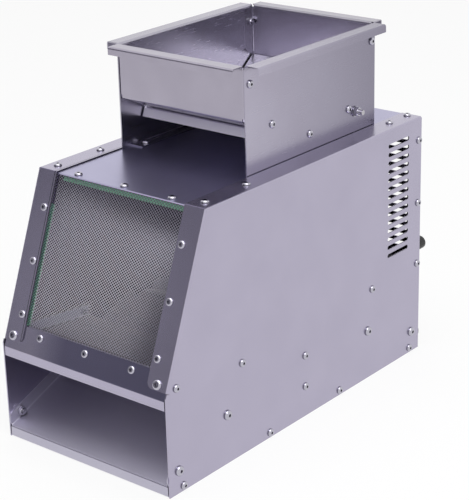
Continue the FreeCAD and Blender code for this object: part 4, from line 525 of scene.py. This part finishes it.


# Hopper: folded stainless walls, feed plate, rear slope and gate, brushed along the machine and
# screwed together. The walls have a soft gloss, the right one painted darker towards the rear as
# the shaded floor it mirrors, and the grain wears the feed plate matt and pale.
hopper_steel = satin_sheet("satin stainless, hopper sheet", "#ACA9B5", "#B1AEBA", 0.27, "y")
dress(hopper_steel, "hopper_left_wall", "hopper_rear_slope", "feed_gate")
worn_steel = satin_sheet("stainless worn matt by grain", "#EAE7F2", "#EFECF6", 0.55, "y")
dress(worn_steel, "hopper_feed_plate")
front_steel = satin_sheet("satin stainless, hopper front", "#A7A2B0", "#B0ABB9", 0.24, "x")
dress(front_steel, "hopper_front_wall")
rear_steel = satin_sheet("satin stainless, hopper rear", "#A6A3AE", "#ABA8B3", 0.24, "x")
dress(rear_steel, "hopper_rear_wall")

wall_low, wall_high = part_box("hopper_right_wall")
rear_shaded_steel = satin_sheet("satin stainless, painted shade towards the rear", "#ADA8B8", "#B2AEBE", 0.27, "y")
spot = add(rear_shaded_steel, "ShaderNodeSeparateXYZ", None,
           {0: add(rear_shaded_steel, "ShaderNodeTexCoord").outputs["Object"]})
# Painted shade: the right wall darkens towards the rear, as the shaded floor it mirrors.
rearward = add(rear_shaded_steel, "ShaderNodeMapRange", {"From Min": wall_low[1], "From Max": wall_high[1]},
               {"Value": spot.outputs["Y"]})
darken_by_mask(rear_shaded_steel, "#8D8999", rearward.outputs["Result"])
dress(rear_shaded_steel, "hopper_right_wall")


# Screws, nuts, washers and the fan's wire guard: bright stainless, cold headed and tumbled.
# Tumbling leaves an uneven gloss; painted shade darkens the sockets and the seats under the heads.
SOCKET_REACH, TUMBLED_MM = 0.0016, 6.0
bright_steel, shader = finish("bright stainless fasteners", "#B4B2BD", 1.0, 0.1)
# Painted shade: ambient occlusion darkens the sockets and the seats under the heads.
occlusion = add(bright_steel, "ShaderNodeAmbientOcclusion", {"Distance": SOCKET_REACH}, samples=8)
clear = add(bright_steel, "ShaderNodeMapRange", {"From Min": 0.35, "From Max": 0.85},
            {"Value": occlusion.outputs["AO"]})
recess_shade_tone = add(bright_steel, "ShaderNodeMix", {"A": linear("#2B2930"), "B": linear("#B4B2BD")},
             {"Factor": clear.outputs["Result"]}, data_type="RGBA")
bright_steel.node_tree.links.new(recess_shade_tone.outputs[2], shader.inputs["Base Color"])
tumbled = add(bright_steel, "ShaderNodeTexNoise", {"Scale": 1000 / TUMBLED_MM, "Detail": 2.0},
              {"Vector": add(bright_steel, "ShaderNodeTexCoord").outputs["Object"]})
gloss = add(bright_steel, "ShaderNodeMapRange",
            {"From Min": 0.3, "From Max": 0.7, "To Min": 0.06, "To Max": 0.14},
            {"Value": tumbled.outputs["Fac"]})
bright_steel.node_tree.links.new(gloss.outputs["Result"], shader.inputs["Roughness"])
dress(bright_steel, "side_screws", "side_clinch_nuts", "chute_bolts", "chute_nuts", "corner_bolts",
      "corner_nuts", "mesh_screws", "top_screws", "top_clinch_nuts", "hopper_screws", "hopper_nuts",
      "hopper_foot_screws", "gate_washers", "gate_nuts", "fan_bolts", "fan_nuts", "fan_guard",
      "potentiometer_nut", "inlet_screws", "inlet_nuts", "board_screws", "board_nuts")


# Floor: plain matt white paper that the machine stands on. The eye and the metal see it nearly
# white all over, and it keeps enough of its own shading to show the machine's shadow.
FLOOR_SIZE, PAPER_GLOW = 9, 0.85
bpy.ops.object.select_all(action="DESELECT")
bpy.ops.mesh.primitive_plane_add(size=FLOOR_SIZE, location=(0, 0, 0))
floor = bpy.context.object
floor.name = "floor"
paper, shader = finish("white paper", "#F2F2F2", 0.0, 0.95)
rays = add(paper, "ShaderNodeLightPath")
looks = add(paper, "ShaderNodeMath", None,
            {0: rays.outputs["Is Camera Ray"], 1: rays.outputs["Is Glossy Ray"]}, operation="MAXIMUM")
share = add(paper, "ShaderNodeMath", {1: PAPER_GLOW}, {0: looks.outputs[0]}, operation="MULTIPLY")
glow = add(paper, "ShaderNodeEmission", {"Color": (1, 1, 1, 1), "Strength": 1.0})
lit = add(paper, "ShaderNodeMixShader", None,
          {0: share.outputs[0], 1: shader.outputs[0], 2: glow.outputs[0]})
paper.node_tree.links.new(lit.outputs[0], paper.node_tree.nodes["Material Output"].inputs["Surface"])
floor.data.materials.append(paper)


# Grey studio flag to the front left, of matt felt: the sloping front mirrors it, as in the
# photograph. Only reflections and bounced light see it, so it never stands in a view.
FLAG_WAY, FLAG_DISTANCE, FLAG_HEIGHT, FLAG_SIZE = Vector((-0.61, -0.79, 0)), 1.9, 0.75, (2.2, 1.3, 1)
bpy.ops.mesh.primitive_plane_add(size=1, location=FLAG_WAY * FLAG_DISTANCE + Vector((0, 0, FLAG_HEIGHT)))
flag = bpy.context.object
flag.name = "flag"
flag.scale = FLAG_SIZE
flag.rotation_euler = (math.radians(90), 0, math.atan2(-FLAG_WAY.x, FLAG_WAY.y))
felt, shader = finish("grey felt flag", "#797782", 0.0, 1.0)
flag.data.materials.append(felt)
flag.visible_camera = False
flag.visible_shadow = False


# Lamps: a soft box to the camera's right, one overhead, and a small one at the front left,
# whose reflection brightens the mesh.
MACHINE_MIDDLE = Vector((0, 0, 0.15))


def soft_box(name, place, size, watts):
    """A square area lamp that looks at the machine's middle."""
    bpy.ops.object.light_add(type="AREA", location=place)
    lamp = bpy.context.object
    lamp.name = name
    lamp.data.size = size
    lamp.data.energy = watts
    lamp.rotation_euler = (MACHINE_MIDDLE - Vector(place)).to_track_quat("-Z", "Y").to_euler()


soft_box("key lamp", (1.2, -0.6, 1.9), 1.2, 16)
soft_box("top lamp", (0, -0.2, 2.4), 1.8, 24)
soft_box("front lamp", (-1.17, -1.46, 0.48), 0.27, 0.1)


# Surround: white to the eye, in the metal and through anything clear, and a weaker white as a
# source of light, so that the pale sheets don't clip.
SURROUND_LIGHT = 0.55
world = bpy.data.worlds.new("studio")
bpy.context.scene.world = world
world.use_nodes = True
lights = world.node_tree.nodes["Background"]
lights.inputs["Color"].default_value = (1, 1, 1, 1)
lights.inputs["Strength"].default_value = SURROUND_LIGHT
seen = add(world, "ShaderNodeBackground", {"Color": (1, 1, 1, 1), "Strength": 1.0})
path = add(world, "ShaderNodeLightPath")
either = add(world, "ShaderNodeMath", None,
             {0: path.outputs["Is Camera Ray"], 1: path.outputs["Is Glossy Ray"]}, operation="MAXIMUM")
any_of = add(world, "ShaderNodeMath", None,
             {0: either.outputs[0], 1: path.outputs["Is Transmission Ray"]}, operation="MAXIMUM")
both = add(world, "ShaderNodeMixShader", None,
           {0: any_of.outputs[0], 1: lights.outputs[0], 2: seen.outputs[0]})
world.node_tree.links.new(both.outputs[0], world.node_tree.nodes["World Output"].inputs["Surface"])
